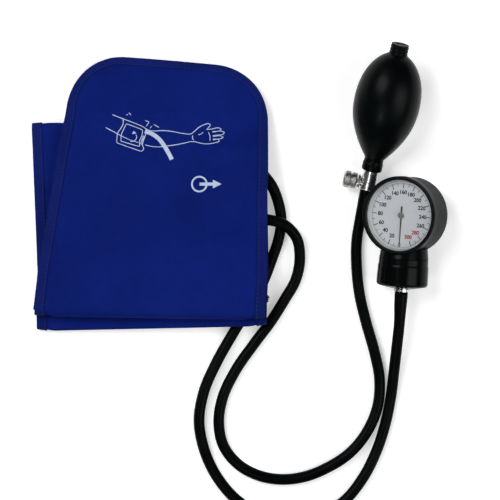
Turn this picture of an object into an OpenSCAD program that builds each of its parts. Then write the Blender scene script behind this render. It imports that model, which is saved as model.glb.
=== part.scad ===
// Aneroid blood pressure gauge with a folded arm cuff, two hoses and a squeeze bulb.
// Millimetres. +Z is up, and the set lies on a table at z = 0.
// The origin is on the cuff's underside, near its middle.

/* [Cuff] */
// Width of the cuff between its long edges
cuff_w = 148; // [144:0.5:150]
// Length of the cuff's lower run, from fold to fold
lower_run = 131.3; // [129:0.1:133]
// Length of the cuff's upper run, from fold to fold
upper_run = 123.3; // [121.5:0.1:125]
// Length of the top flap, from its fold to its rounded end
flap_len = 162.6; // [158:0.1:166]
// Lean of the top flap to the right, in degrees
flap_lean = 4.8; // [4:0.1:5.5]
// Half of the width that the top flap loses at the start of its corners
flap_taper = 10.3; // [8:0.1:12]
// Radius of the top flap's corners
flap_corner_r = 35; // [30:0.5:38]
// Crown of the top flap's end
flap_crown = 0.3; // [0.2:0.1:1.5]
// Inward bow of the two runs' left edge
waist = 2.7; // [1.5:0.1:3.2]
// Thickness of one ply of cuff cloth
ply_t = 0.5; // [0.4:0.05:0.7]
// Thickness of the flat bladder, both walls together
bladder_t = 2.4; // [1.8:0.1:2.8]
// Thickness of the edge tape
tape_t = 0.5; // [0.3:0.05:0.6]
// Width of the edge tape on each face
tape_w = 6; // [5:0.1:7]
// Thickness of the hook patch
hook_t = 1.3; // [1:0.1:1.8]
// Thickness of the loop patch
loop_t = 2; // [1.5:0.1:2.5]
// Droop of the top flap's free end, as a slope
flap_droop = 0.19; // [0.1:0.01:0.2]

/* [Closure ring] */
// Outside length of the wire ring
ring_len = 150; // [146:0.5:152]
// Outside width of the wire ring
ring_w = 5.6; // [5.2:0.1:6]
// Diameter of the ring's wire
ring_wire_d = 1.8; // [1.6:0.1:2]
// Distance from the first fold to the ring's centre line
ring_reach = 18.1; // [17.5:0.1:19]

/* [Hoses] */
// Outside diameter of both hoses
hose_d = 7; // [6.6:0.1:7.2]
// Bore of both hoses
hose_bore_d = 4.4; // [4:0.1:4.6]
// Swelling of a hose's radius over a nipple
hose_swell = 0.7; // [0.3:0.1:0.9]
// Sides of each hose's tube
hose_sides = 12; // [8:2:12]
// Distance between the bladder's two ports
port_spacing = 32.6; // [32:0.1:33]

/* [Gauge case] */
// Thickness of the bezel's side over the barrel
bezel_t = 0.75; // [0.6:0.05:1.2]
// Radius of the case's barrel
case_r = 24; // [23.8:0.05:24.1]
// Depth of the case behind the bezel's front
case_depth = 24; // [23.5:0.1:24.5]
// Wall of the case
case_wall = 1.2; // [1:0.1:1.4]
// Radius of the case's rear edge
case_edge_r = 1.2; // [0.6:0.1:1.5]
// Height of the bezel's side
bezel_h = 6; // [5:0.1:6.5]
// Distance from the barrel's side to the opening that shows the dial
window_inset = 1.6; // [1.5:0.1:2]
// Thickness of the lens
lens_t = 1.6; // [1.2:0.1:1.8]
// Thickness of the dial
dial_t = 0.6; // [0.4:0.05:0.8]

/* [Capsule cup] */
// Depth of the cup's axis behind the bezel's front
cup_axis = 14; // [13.6:0.1:14.4]
// Largest radius of the cup
cup_r = 16.3; // [16.2:0.05:16.6]
// Distance from the barrel to the seam between housing and cup
cup_drop = 3.4; // [3:0.1:4]
// Length of the cup's side from its seam
cup_len = 16.2; // [15.5:0.1:17]
// Height of the cup's domed end
cup_dome = 3.3; // [2.8:0.1:4]
// Radius of the corrugated capsule
capsule_r = 12.5; // [11.5:0.1:12.8]
// Thickness of a capsule skin
skin_t = 0.25; // [0.2:0.05:0.35]

/* [Movement] */
// Module of the pinion and the sector
gear_m = 0.25; // [0.24:0.005:0.26]
// Teeth of the pinion
pinion_teeth = 8; // [8:1:8]
// Teeth that the sector would have as a full wheel
sector_teeth = 90; // [88:1:92]
// Length of the sector's lever arm
lever_len = 3.8; // [3.6:0.05:4]
// Swing of the sector between its end positions, in degrees
sector_swing = 30; // [28:0.5:30]
// Thickness of the movement plates
plate_t = 0.8; // [0.6:0.05:0.9]
// Radius of the push rod
rod_r = 1; // [0.9:0.05:1.1]
// Distance from the pointer's tip to the opening's edge
pointer_inset = 2.7; // [2.4:0.1:3.2]

/* [Bulb] */
// Largest radius of the bulb
bulb_r = 20.8; // [20:0.1:21.5]
// Length of the bulb from its belly to its intake collar
bulb_top = 32; // [31:0.5:33]
// Length of the bulb from its belly to its neck
bulb_bottom = 36.5; // [35.5:0.5:37.5]
// Length of the intake collar
intake_collar = 5.8; // [5.4:0.1:6.4]
// Length of the neck and the valve collar
valve_collar = 8; // [7.6:0.1:8.4]
// Wall of the bulb
bulb_wall = 2.2; // [1.8:0.1:2.4]
// Tilt of the bulb's axis, valve end down, in degrees
bulb_tilt = 14.5; // [13.5:0.5:15.5]

/* [Release valve] */
// Radius of the valve's body
valve_r = 4.85; // [4.6:0.05:5]
// Radius of the knurled knob
knob_r = 5.45; // [5:0.05:5.6]
// Length of the knurled knob
knob_len = 8.8; // [8:0.1:9.5]
// Flutes round the knob
knob_flutes = 30; // [24:1:36]
// Radius of the valve's spindle
spindle_r = 1.7; // [1.5:0.05:1.8]
// Radius of the check balls
ball_r = 1.6; // [1.5:0.05:1.7]
// Free travel of a check ball
ball_travel = 0.8; // [0.6:0.05:1]

/* [Hidden] */
$fn = 64;

// Clearances
slip = 0.05;
run = 0.05;
seat = 0.1;

// Cloth
seam_gap = 0.1;
tape_gap = 0.15;
ply_out = seam_gap + ply_t;
tape_in = ply_out + tape_gap;
tape_out = tape_in + tape_t;
loop_wire_r = ring_wire_d / 2 + slip;
loop_out_r = loop_wire_r + ply_t;
fold_a_r = 1.8;
fold_b_r = ply_out + (hook_t + loop_t) / 2 + 2 * slip + seat;
fold_c_r = bladder_t / 2 + seam_gap + ply_t + 0.85;
z_ring_flap = loop_out_r + slip;
z_lower = z_ring_flap + 2 * fold_a_r;
z_upper = z_lower + 2 * fold_b_r;
z_flap = z_upper + 2 * fold_c_r;
sag = z_lower - ply_out;

// Fold lines: centre x, y of the outermost line, skew in degrees
far_fold_y = 64.9;
fold_a = [1.1, far_fold_y - lower_run + fold_a_r + tape_out, 1.25];
fold_b = [-0.8, far_fold_y - fold_b_r - tape_out, 0];
fold_c = [-0.1, far_fold_y - upper_run + fold_c_r + tape_out, -0.9];
waist_y = [-57, -29, 62];
ring_y = far_fold_y - lower_run + ring_reach;
ring_flap_end = [fold_a[0], ring_y - ring_w / 2 - 1.6, fold_a[2]];

// Lift over the hoses under the near right corner, over the ports and at the flap's free end
lift_h = hose_d + 0.6;
lift_left = -75;
lift_full = 55;
lift_y = -6;
lift_ramp = 22;
sag_y = ring_y + 2.3;
sag_ramp = 22;
bump_x = 8;
bump_x_ramp = 28;
bump_y = [-24, -3, 44, 62];
droop_y = [56, 74];

// Bladder ports: plan place and height of the nozzle's axis
port_x = [54, 50];
port_y = [3.4, 3.4 + port_spacing];
port_z = 11.3;
port_r = 3.4;
nipple_r = hose_bore_d / 2;
ply_hole_r = port_r + 0.4;

// Bladder edges as shares of the cuff's half width, and the grid across the cuff
bladder_edge = 0.81;
tape_edge = 0.9;
across = [-1, -tape_edge, -bladder_edge, -0.4, 0.1, 0.3, 0.5, bladder_edge, tape_edge, 1];
across_bladder = [-bladder_edge, -0.4, 0.1, 0.3, 0.5, bladder_edge];
across_patch = [-0.78, 0.78];
patch_y = [20, 54];
flap_l = flap_len - fold_c_r - tape_out;

// Gauge place: the cup's side and the case's rear edge both touch the table
gauge_x = 156.5;
gauge_y = 5.8;
gauge_yaw = 4;
gauge_roll = 24.8;
bezel_r = case_r + bezel_t;
window_r = case_r - window_inset;
pointer_r = window_r - pointer_inset;
cup_seam = case_r + cup_drop;
cup_side_end = cup_seam + cup_len;
cup_end = cup_side_end + cup_dome;
rest_a = case_r - case_edge_r;
rest_b = case_depth - case_edge_r - cup_axis;
function case_clear(pitch) = cup_side_end * sin(pitch) + (cup_r - rest_b * cos(gauge_roll)) * cos(pitch)
    - rest_a * sqrt(1 - pow(cos(gauge_roll) * cos(pitch), 2)) - case_edge_r;
first_pitch = asin(-case_clear(0) / cup_side_end);
gauge_pitch = first_pitch - asin(case_clear(first_pitch) / cup_side_end);
gauge_z = cup_side_end * sin(gauge_pitch) + (cup_axis * cos(gauge_roll) + cup_r) * cos(gauge_pitch);

// Levels inside the gauge, from the bezel's front down
lip_t = 1;
lens_top = lip_t + slip;
lens_bottom = lens_top + lens_t;
gasket_t = 0.4;
dial_top = 5.25;
dial_bottom = dial_top + dial_t;
ledge_t = 1;
case_in_r = case_r - case_wall;
ledge_r = case_in_r - 1.2;
front_plate_top = cup_axis - 3;
movement_z = cup_axis;
gear_t = 0.8;
rear_plate_top = cup_axis + 2.6;
back_in = case_depth - 1.5;

// Movement
pinion_pr = gear_m * pinion_teeth / 2;
sector_pr = gear_m * sector_teeth / 2;
centre_d = pinion_pr + sector_pr;
pressure = 20;
backlash = 0.06;
sector_tip_r = sqrt(pow(sector_pr * cos(pressure), 2) + pow(centre_d * sin(pressure), 2));
pinion_tip_r = pinion_pr + gear_m;
tip_gap = 0.07;
staff_r = 0.5;
sector_staff_r = 0.6;
pivot_x = -lever_len;
pivot_y = -sqrt(centre_d * centre_d - pivot_x * pivot_x);
mesh_a = atan2(-pivot_y, -pivot_x);
lever_tip_r = 0.7;
lever_low = pivot_y - lever_len * sin(sector_swing / 2);
rod_top = -(lever_low - lever_tip_r - run);
plate_x = -0.5;
plate_y = -2.5;
front_plate_r = 13.5;
rear_plate_r = 15;
pillar_ring_r = 10.7;
pillar_r = 1.3;
pillar_pin_r = 0.7;
mount_ring_r = 13.2;
mount_screw_r = 0.8;
pillar_places = [for (a = [90, 210, 330]) [plate_x, plate_y, 0] + pillar_ring_r * [cos(a), sin(a), 0]];
mount_places = [for (a = [30, 150, 270]) [plate_x, plate_y, 0] + mount_ring_r * [cos(a), sin(a), 0]];
collet_r = 1.1;
spring_out_r = 5.4;
spring_turns = 5;

// Capsule cup
neck_r = 3.9;
neck_nut_r = 5.1;
neck_nut_h = 1.3;
neck_nut_top = sqrt(pow(case_in_r - slip, 2) - pow(neck_nut_r, 2)) - neck_nut_h;
housing_top = case_r - 3.5;
housing_top_r = 14.7;
seam_r = 15.6;
cup_upper_end = cup_seam + 4.6;
cup_bore_r = 14.45;
spigot_len = 2.6;
cup_floor = cup_side_end - 0.3;
stem_r = 3;
nut_h = 1.6;
collar_r = 4.9;
collar_h = 1.5;
gauge_nipple_len = 13;
capsule_base = cup_floor - nut_h - 0.35;
capsule_dish = 2.2;
capsule_wave = 0.4;
capsule_flat_r = 2.6;
capsule_rim = capsule_base - capsule_dish - skin_t;
capsule_top = capsule_rim - 2 * skin_t - capsule_dish;
boss_h = 0.8;

// Bulb place: the belly touches the table
bulb_x = 149.7;
bulb_y = 76.6;
bulb_yaw = 12.7;
bulb_neck_r = 6.1;
intake_neck_r = 5.6;
valve_collar_r = 6.4;
valve_start = bulb_bottom + valve_collar;
intake_start = bulb_top + intake_collar;
bulb_steps = 14;
function bulb_radius(neck, full, bend, shrink, a) =
    neck - shrink + (bulb_r - neck) * pow(1 - pow(sin(a), full), bend);
function bulb_points(shrink) = concat(
    [for (i = [0:bulb_steps])
        let (a = 90 - 90 * i / bulb_steps)
        [bulb_radius(intake_neck_r, 2.3, 0.7, shrink, a), -(bulb_top - shrink) * sin(a)]],
    [for (i = [1:bulb_steps])
        let (a = 90 * i / bulb_steps)
        [bulb_radius(bulb_neck_r, 2.1, 1.05, shrink, a), (bulb_bottom - shrink) * sin(a)]]);
bulb_z = max([for (p = bulb_points(0)) p[0] * cos(bulb_tilt) + p[1] * sin(bulb_tilt)]);

// Valve
valve_len = 12.7;
valve_end = valve_start + valve_len;
knob_axis = valve_start + 8.9;
spigot_r = 4.6;
valve_bore_r = 1.3;
chamber_r = 2.2;
seat_r = 1.1;
chamber_start = valve_start - 12.6;
chamber_len = 2 * ball_r + ball_travel + 2.6;
boss_r = 3.6;
boss_end = 5.4;
flange_r = 4.9;
flange_end = 7;
knob_start = 7.5;
knob_groove = 0.5;
valve_nipple_len = 9.5;
cage_t = 0.7;
intake_r = intake_neck_r - 1.4;

// Hose routes, from the bladder's port to the far nipple
bulb_route = [[57.7, 3.4, 11.3], [66, 3.4, 11.3], [75.4, 3.1, 11.3], [85, 0.2, 11.1], [92.4, -7.4, 8.6],
    [95, -21, 4.6], [92.3, -35, 3.5], [85.2, -47.6, 3.5], [76.8, -61, 3.5], [66.3, -75, 3.5],
    [53.7, -93.2, 3.5], [45.9, -110, 3.5], [43.6, -126, 3.5], [46.5, -139.9, 3.5], [56, -151.9, 3.5],
    [69.2, -159, 3.5], [83.5, -161.4, 3.5], [98, -159.7, 3.5], [112.8, -153.8, 3.5], [126.4, -144.9, 3.5],
    [137.4, -131.6, 3.5], [144.2, -115.6, 3.5], [145.6, -98, 3.5], [142.2, -80, 3.5], [137.1, -62, 3.5],
    [133, -44.6, 3.5], [131, -26, 3.5], [131.2, -9, 3.5], [133.2, 3, 3.8]];
gauge_route = [[53.7, 36, 11.3], [61.5, 36, 11.3], [69.3, 33.6, 11.3], [76, 26.6, 10.8], [81, 15.5, 6.8],
    [83.2, 2.5, 3.7], [81.4, -9.5, 3.5], [77.5, -21, 3.5], [71.5, -36.5, 3.5], [62.8, -52, 3.5],
    [52.5, -69, 3.5], [42.3, -87, 3.5], [33.8, -106.9, 3.5], [31.1, -124, 3.5], [34.2, -142, 3.5],
    [41.9, -158.9, 3.5], [54.3, -173.8, 3.5], [70.6, -184, 3.5], [88.9, -187.6, 3.5], [106.7, -184.6, 3.5],
    [122.8, -175.4, 3.5], [134.5, -161.3, 3.5], [143.1, -144.6, 3.5], [149, -127, 3.5], [152.7, -109, 3.9],
    [154.7, -92, 7], [156.4, -76, 11.4], [157.8, -62, 14.5]];

// Curves and placing
function smooth(u) = let (v = max(0, min(1, u))) v * v * (3 - 2 * v);
function ramp(u) = max(0, min(1, u));
function lerp(a, b, q) = a + (b - a) * q;
function unit(v) = v / norm(v);
function turn_z(v, a) = [v[0] * cos(a) - v[1] * sin(a), v[0] * sin(a) + v[1] * cos(a), v[2]];
function turn_y(v, a) = [v[0] * cos(a) + v[2] * sin(a), v[1], -v[0] * sin(a) + v[2] * cos(a)];
function turn_x(v, a) = [v[0], v[1] * cos(a) - v[2] * sin(a), v[1] * sin(a) + v[2] * cos(a)];
function gauge_point(v) = [gauge_x, gauge_y, gauge_z] + turn_z(turn_x(turn_y(v, -gauge_roll), gauge_pitch), -gauge_yaw);
function bulb_point(v) = [bulb_x, bulb_y, bulb_z] + turn_z(turn_x(v, bulb_tilt), -bulb_yaw);

module at_gauge() {
    translate([gauge_x, gauge_y, gauge_z]) rotate([gauge_pitch, 0, -gauge_yaw]) rotate([0, -gauge_roll, 0])
        children();
}

// Down the gauge's stem: height is measured from the dial's centre towards the hose
module at_stem() {
    at_gauge() translate([0, 0, -cup_axis]) rotate([90, 0, 0]) children();
}

// Down the bulb's axis: height is measured from the belly towards the valve
module at_bulb() {
    translate([bulb_x, bulb_y, bulb_z]) rotate([0, 0, -bulb_yaw]) rotate([bulb_tilt + 90, 0, 0]) children();
}

// Out along the knob's axis, from the middle of the valve's body
module at_knob() {
    at_bulb() translate([0, 0, knob_axis]) rotate([0, -90, 0]) children();
}

module ring(r_out, r_in, z0, z1) {
    translate([0, 0, z0]) difference() {
        cylinder(r = r_out, h = z1 - z0);
        translate([0, 0, -1]) cylinder(r = r_in, h = z1 - z0 + 2);
    }
}

// A gauge level: a disc or ring between two depths behind the bezel's front
module level(r_out, r_in, top, bottom) {
    if (r_in > 0) ring(r_out, r_in, -bottom, -top);
    else translate([0, 0, -bottom]) cylinder(r = r_out, h = bottom - top);
}

// A closed mesh from rows of points; each row is a loop of the same number of points.
// Both halves of a loop are split along the same diagonals, so that stacked layers don't cross.
function loop_faces(rows, n) =
    [for (i = [0:rows - 2], j = [0:n - 1], k = [0, 1])
        let (a = i * n + j, b = i * n + (j + 1) % n, flip = j >= n / 2)
        k == 0 ? (flip ? [a, a + n, b] : [a, b + n, b]) : (flip ? [b, a + n, b + n] : [a, a + n, b + n])];
module swept(loops) {
    n = len(loops[0]);
    rows = len(loops);
    ends = [[for (j = [0:n - 1]) j], [for (j = [n - 1:-1:0]) (rows - 1) * n + j]];
    polyhedron(points = [for (l = loops) each l], faces = concat(loop_faces(rows, n), ends));
}

// Cuff cloth. A station is [lines from, lines to, share, dy, z, ny, nz, layer, edge rise, bladder share]
function line_point(f, t) = [f[0] + t * cuff_w / 2 * cos(f[2]), f[1] + t * cuff_w / 2 * sin(f[2])];
function run_station(from, to, y, z, nz, layer, full) =
    [from, to, (y - from[1]) / (to[1] - from[1]), 0, z, 0, nz, layer, 1, full];
function near_fold(f, r, z, a, layer, rise, full) = [f, f, 0, -r * cos(a), z + r * sin(a), -cos(a), sin(a), layer,
    rise, full];
function far_fold(f, r, z, a) = [f, f, 0, r * cos(a), z + r * sin(a), -cos(a), -sin(a), 1, 1, 0];

// The top flap lies in its own leaning frame: q runs from its fold to its end
flap_along = [sin(flap_lean), cos(flap_lean)];
flap_across = [cos(flap_lean), -sin(flap_lean)];
flap_skew = flap_lean + fold_c[2];
flap_straight = flap_l - flap_corner_r;
function flap_half(b) = let (w = cuff_w / 2 * cos(flap_skew) - flap_taper * min(b, flap_straight) / flap_straight)
    w - flap_corner_r + sqrt(max(0, pow(flap_corner_r, 2) - pow(max(0, b - flap_straight), 2)));
function flap_point(t, q) =
    let (b = lerp(t * cuff_w / 2 * sin(flap_skew), flap_l + flap_crown * (1 - t * t), q))
    [fold_c[0], fold_c[1]] + b * flap_along + t * flap_half(q * flap_l) * flap_across;
tape_fade = 10;
bladder_fade = 8;
function flap_station(b) = [fold_c, fold_c, b / flap_l, 0, z_flap, 0, 1, 3,
    ramp((flap_straight - b) / tape_fade), ramp((flap_straight + bladder_fade - b) / bladder_fade)];
function corner_turn(b) = asin(ramp((b - flap_straight) / flap_corner_r));

function waisted(p, t) = p + [waist * smooth((-t - 0.4) / 0.5)
    * min(ramp((p[1] - waist_y[0]) / (waist_y[1] - waist_y[0])), ramp((waist_y[2] - p[1]) / (waist_y[2] - waist_y[1]))), 0];
function plan(s, t) = s[7] == 3 ? flap_point(t, s[2]) :
    waisted(lerp(line_point(s[0], t), line_point(s[1], t), s[2]) + [0, s[3]], t);
function lift(layer, p) =
    lift_h * max(0, p[0] - lift_left) / (lift_full - lift_left) * smooth((lift_y - p[1]) / lift_ramp)
    - (layer > 0 ? sag * smooth((p[1] - sag_y) / sag_ramp) : 0)
    + (layer == 3 ? port_bump(p) - droop(p[1]) : 0);
function port_bump(p) = lift_h * smooth((p[0] - bump_x) / bump_x_ramp)
    * smooth((p[1] - bump_y[0]) / (bump_y[1] - bump_y[0])) * smooth((bump_y[3] - p[1]) / (bump_y[3] - bump_y[2]));
function droop(y) = flap_droop * (y < droop_y[0] ? 0 :
    y < droop_y[1] ? pow(y - droop_y[0], 2) / 2 / (droop_y[1] - droop_y[0]) : y - (droop_y[0] + droop_y[1]) / 2);
function edge_rise(s, t) = s[8] * (tape_t + tape_gap) * smooth((abs(t) - bladder_edge) / (tape_edge - bladder_edge));
function cloth_point(s, t, d) = let (p = plan(s, t))
    [p[0], p[1] + d * s[5], s[4] + lift(s[7], p) + edge_rise(s, t) + d * s[6]];
function half_gap(s, t) = seam_gap + bladder_t / 2 * s[9] * ramp((tape_edge - abs(t)) / (tape_edge - bladder_edge));

fold_turn = 60;
fold_turns = [for (share = [-1:0.5:1]) share * fold_turn];
sag_rows = [for (share = [0:0.27:0.81]) sag_y + share * sag_ramp, lerp(sag_y + sag_ramp, lift_y, 0.22)];
bladder_start = lerp(sag_rows[4], lift_y, 0.5);
lower_y = [each sag_rows, lift_y, patch_y[0]];
upper_y = [patch_y[0], lerp(patch_y[0], lift_y, 0.5), lift_y, bladder_start, for (i = [4:-1:0]) sag_rows[i]];
flap_y = [-45, -39, -33, -27, -21, -16, -10, -4, 1.7, 20, 43, 49, 55, 61, 68];
flap_b = [0, for (y = flap_y) if (y - fold_c[1] < flap_straight - 4) y - fold_c[1], flap_straight,
    each [for (a = [15:15:90]) flap_straight + flap_corner_r * sin(a)]];
stations = concat(
    [[ring_flap_end, fold_a, 0, 0, z_ring_flap, 0, -1, 0, 0, 0],
        [fold_a, fold_a, 0, 0, z_ring_flap, 0, -1, 0, 0, 0]],
    [for (a = fold_turns) near_fold(fold_a, fold_a_r, z_ring_flap + fold_a_r, a, 1, ramp((a / fold_turn + 1) / 2), 0)],
    [run_station(fold_a, fold_b, fold_a[1], z_lower, 1, 1, 0)],
    [for (y = lower_y) run_station(fold_a, fold_b, y, z_lower, 1, 1, 0)],
    [run_station(fold_a, fold_b, fold_b[1], z_lower, 1, 1, 0)],
    [for (a = fold_turns) far_fold(fold_b, fold_b_r, z_lower + fold_b_r, a)],
    [run_station(fold_b, fold_c, fold_b[1], z_upper, -1, 2, 0)],
    [for (y = upper_y) run_station(fold_b, fold_c, y, z_upper, -1, 2, ramp((lift_y - y) / (lift_y - bladder_start)))],
    [run_station(fold_b, fold_c, fold_c[1], z_upper, -1, 2, 1)],
    [for (a = fold_turns) near_fold(fold_c, fold_c_r, z_upper + fold_c_r, a, 2, 1, 1)],
    [for (b = flap_b) flap_station(b)]);

// A layer of cloth between two offsets from the cuff's middle surface
module cloth(list, ts, low, high) {
    m = len(ts);
    swept([for (s = list) concat(
        [for (t = ts) cloth_point(s, t, high(s, t))],
        [for (j = [m - 1:-1:0]) cloth_point(s, ts[j], low(s, ts[j]))])]);
}

module cuff_outer_ply() {
    color("midnightblue") cloth(stations, across, function (s, t) half_gap(s, t),
        function (s, t) half_gap(s, t) + ply_t);
}

module cuff_inner_ply() {
    color("midnightblue") difference() {
        cloth(stations, across, function (s, t) -half_gap(s, t) - ply_t, function (s, t) -half_gap(s, t));
        for (i = [0, 1]) translate([port_x[i], port_y[i], port_z])
            cylinder(r = ply_hole_r, h = z_flap + lift_h - port_z, $fn = 24);
    }
}

module bladder() {
    inside = [for (s = stations) if (s[9] == 1) s];
    color("dimgray") cloth(inside, across_bladder, function (s, t) -bladder_t / 2, function (s, t) bladder_t / 2);
}

// Hook and loop patches lie face to face between the lower and the upper run
module hook_patch() {
    list = [for (y = patch_y) run_station(fold_a, fold_b, y, z_lower, 1, 1, 0)];
    color("black") cloth(list, across_patch, function (s, t) tape_in, function (s, t) tape_in + hook_t);
}
module loop_patch() {
    list = [for (i = [1, 0]) run_station(fold_b, fold_c, patch_y[i], z_upper, -1, 2, 0)];
    color("darkslateblue") cloth(list, across_patch, function (s, t) tape_in, function (s, t) tape_in + loop_t);
}

// Edge tape: one folded strip up the left edge, round the flap's end and down the right edge
function edge_in(s, side) = let (a = s[7] == 3 ? corner_turn(s[2] * flap_l) : 0)
    cos(a) * unit(plan(s, side * tape_edge) - plan(s, side)) - sin(a) * flap_along;
function edge_point(s, t, inward, w, d) = let (p = plan(s, t) + w * inward)
    [p[0], p[1] + d * s[5], s[4] + lift(s[7], p) + s[8] * (tape_t + tape_gap) + d * s[6]];
function tape_section(s, t, inward) =
    [for (q = [[-tape_gap - tape_t, -tape_out], [tape_w, -tape_out], [tape_w, -tape_in], [-tape_gap, -tape_in],
        [-tape_gap, tape_in], [tape_w, tape_in], [tape_w, tape_out], [-tape_gap - tape_t, tape_out]])
        edge_point(s, t, inward, q[0], q[1])];
module edge_tape() {
    last = stations[len(stations) - 1];
    color("mediumblue") swept(concat(
        [for (s = stations) tape_section(s, 1, edge_in(s, 1))],
        [for (j = [len(across) - 2:-1:1]) tape_section(last, across[j], -flap_along)],
        [for (i = [len(stations) - 1:-1:0]) tape_section(stations[i], -1, edge_in(stations[i], -1))]));
}

// The ring lies along the ring flap's end and leans with the lifted corner
ring_slope = atan(lift_h / (lift_full - lift_left));
ring_z = z_ring_flap + lift_h * (fold_a[0] - lift_left) / (lift_full - lift_left);
loop_len = 2 * (cuff_w / 2 - tape_w) - 3;
module at_ring() {
    translate([fold_a[0], ring_y, ring_z]) rotate([0, 0, fold_a[2]]) rotate([0, -ring_slope, 0]) children();
}
module closure_ring() {
    bend_r = (ring_w - ring_wire_d) / 2;
    straight = ring_len - ring_w;
    color("silver") at_ring() {
        for (side = [-1, 1]) {
            translate([-straight / 2, side * bend_r, 0]) rotate([0, 90, 0]) cylinder(d = ring_wire_d, h = straight);
            translate([side * straight / 2, 0, 0]) rotate([0, 0, side * 90 - 180]) rotate_extrude(angle = 180)
                translate([bend_r, 0]) circle(d = ring_wire_d);
        }
    }
}
module ring_loop() {
    wire_y = -(ring_w - ring_wire_d) / 2;
    leg = 6.5;
    module teardrop(r, gap) hull() {
        translate([wire_y, 0]) circle(r = r, $fn = 32);
        translate([wire_y - leg, -gap]) square([1, 2 * gap]);
    }
    color("midnightblue") at_ring() rotate([90, 0, 90]) translate([0, 0, -loop_len / 2])
        linear_extrude(loop_len) difference() {
            teardrop(loop_out_r, tape_out);
            teardrop(loop_wire_r, tape_in);
            translate([wire_y - leg - 1, -tape_in]) square([2, 2 * tape_in]);
        }
}

// Bladder ports: two elbows, from the bladder's lower wall into the hoses
port_top = z_flap - sag + lift_h - bladder_t / 2 - slip;
port_body = 3.6;
port_nipple = 8;
module barbs(r, from, count, pitch) {
    for (i = [0:count - 1]) translate([0, 0, from + i * pitch]) cylinder(r1 = r, r2 = r - 0.3, h = pitch * 0.6);
}
module bladder_ports() {
    color("black") for (i = [0, 1]) translate([port_x[i], port_y[i], port_z]) difference() {
        union() {
            sphere(r = port_r);
            cylinder(r = port_r, h = port_top - port_z);
            rotate([0, 90, 0]) {
                cylinder(r = port_r, h = port_body);
                cylinder(r = nipple_r - 0.3, h = port_body + port_nipple);
                barbs(nipple_r - slip, port_body + 1.5, 3, 2);
            }
        }
        cylinder(r = 1.3, h = port_top - port_z + 1);
        rotate([0, 90, 0]) cylinder(r = 1.2, h = port_body + port_nipple + 1);
    }
}

// Hoses: each is one bored tube along its route
function tangent(p, i) = unit(p[min(i + 1, len(p) - 1)] - p[max(i - 1, 0)]);
function tube_ring(p, along, r) = let (side = unit(cross([0, 0, 1], along)), up = cross(along, side))
    [for (j = [0:hose_sides - 1]) let (a = 360 * (j + 0.5) / hose_sides) p + r * (cos(a) * side + sin(a) * up)];
function swell(i, n) = let (k = min(i, n - 1 - i)) k == 0 ? hose_swell : k == 1 ? hose_swell * 0.8 :
    k == 2 ? hose_swell * 0.2 : 0;
module hose(route) {
    n = len(route);
    m = hose_sides;
    bore = (nipple_r + slip) / cos(180 / m);
    outer = [for (i = [0:n - 1]) each tube_ring(route[i], tangent(route, i), hose_d / 2 + swell(i, n))];
    inner = [for (i = [0:n - 1]) each tube_ring(route[i], tangent(route, i), bore)];
    skin = loop_faces(n, m);
    lining = [for (f = skin) [f[2] + n * m, f[1] + n * m, f[0] + n * m]];
    last = (n - 1) * m;
    caps = [for (j = [0:m - 1], k = [0, 1]) let (a = j, b = (j + 1) % m, c = n * m)
        each (k == 0 ? [[a, b, c + a], [b, c + b, c + a]]
            : [[last + b, last + a, last + c + b], [last + a, last + c + a, last + c + b]])];
    color("black") polyhedron(points = concat(outer, inner), faces = concat(skin, lining, caps));
}
module gauge_hose() {
    far = cup_end + collar_h + seat;
    hose(concat(gauge_route, [gauge_point([0, -far - 9, -cup_axis]), gauge_point([0, -far, -cup_axis])]));
}
module bulb_hose() {
    far = valve_end + seat;
    hose(concat(bulb_route, [bulb_point([0, -far - 9, 0]), bulb_point([0, -far, 0])]));
}

// Bulb: a hollow rubber pear with a collar at each end
module bulb_shell() {
    outside = concat([[0, -intake_start], [intake_neck_r, -intake_start]], bulb_points(0),
        [[bulb_neck_r, valve_start - 5.3], [valve_collar_r, valve_start - 4.8], [valve_collar_r, valve_start - 2.3],
            [valve_collar_r - 0.5, valve_start - 0.9], [valve_collar_r - 1.2, valve_start], [0, valve_start]]);
    hollow = concat([[0, -bulb_top + bulb_wall]], [for (p = bulb_points(bulb_wall)) p],
        [[0, bulb_bottom - bulb_wall]]);
    color("black") at_bulb() difference() {
        union() {
            rotate_extrude() polygon(outside);
            for (h = [0.3:1.9:4.2]) translate([0, 0, -intake_start + h]) cylinder(r = intake_neck_r + 0.25, h = 1);
        }
        rotate_extrude() polygon(hollow);
        translate([0, 0, chamber_start - 1]) cylinder(r = spigot_r + slip, h = valve_start - chamber_start + 2);
        translate([0, 0, -intake_start - 1]) cylinder(r = intake_r + slip, h = bulb_wall + 10);
    }
}

// Check valves: each has a seat, a ball and a cage; the cages are alike.
// The bulb lies with its valve end low, so both balls rest on their cages.
module cage() {
    difference() {
        cylinder(r = chamber_r - slip, h = cage_t);
        for (a = [0:120:240]) rotate([0, 0, a]) translate([1.35, 0, -1]) cylinder(r = 0.6, h = cage_t + 2);
    }
}
intake_seat = -intake_start + 3.2;
intake_cage = intake_seat + 2 * ball_r + ball_travel + seat;
outlet_seat_end = chamber_start + 2.4;
outlet_cage = outlet_seat_end + 2 * ball_r + ball_travel + seat;
module intake_body() {
    color("black") at_bulb() difference() {
        union() {
            translate([0, 0, -intake_start - 1.2]) cylinder(r = intake_neck_r - 0.1, h = 1.2 - slip);
            translate([0, 0, -intake_start - 1.2]) cylinder(r = intake_r, h = intake_cage + cage_t + intake_start + 1.2);
        }
        translate([0, 0, -intake_start - 2.2]) cylinder(r = 3, h = 2.2);
        translate([0, 0, -intake_start - 0.5]) cylinder(r = seat_r, h = 5);
        translate([0, 0, intake_seat]) cylinder(r = chamber_r, h = 12);
    }
}
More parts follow.
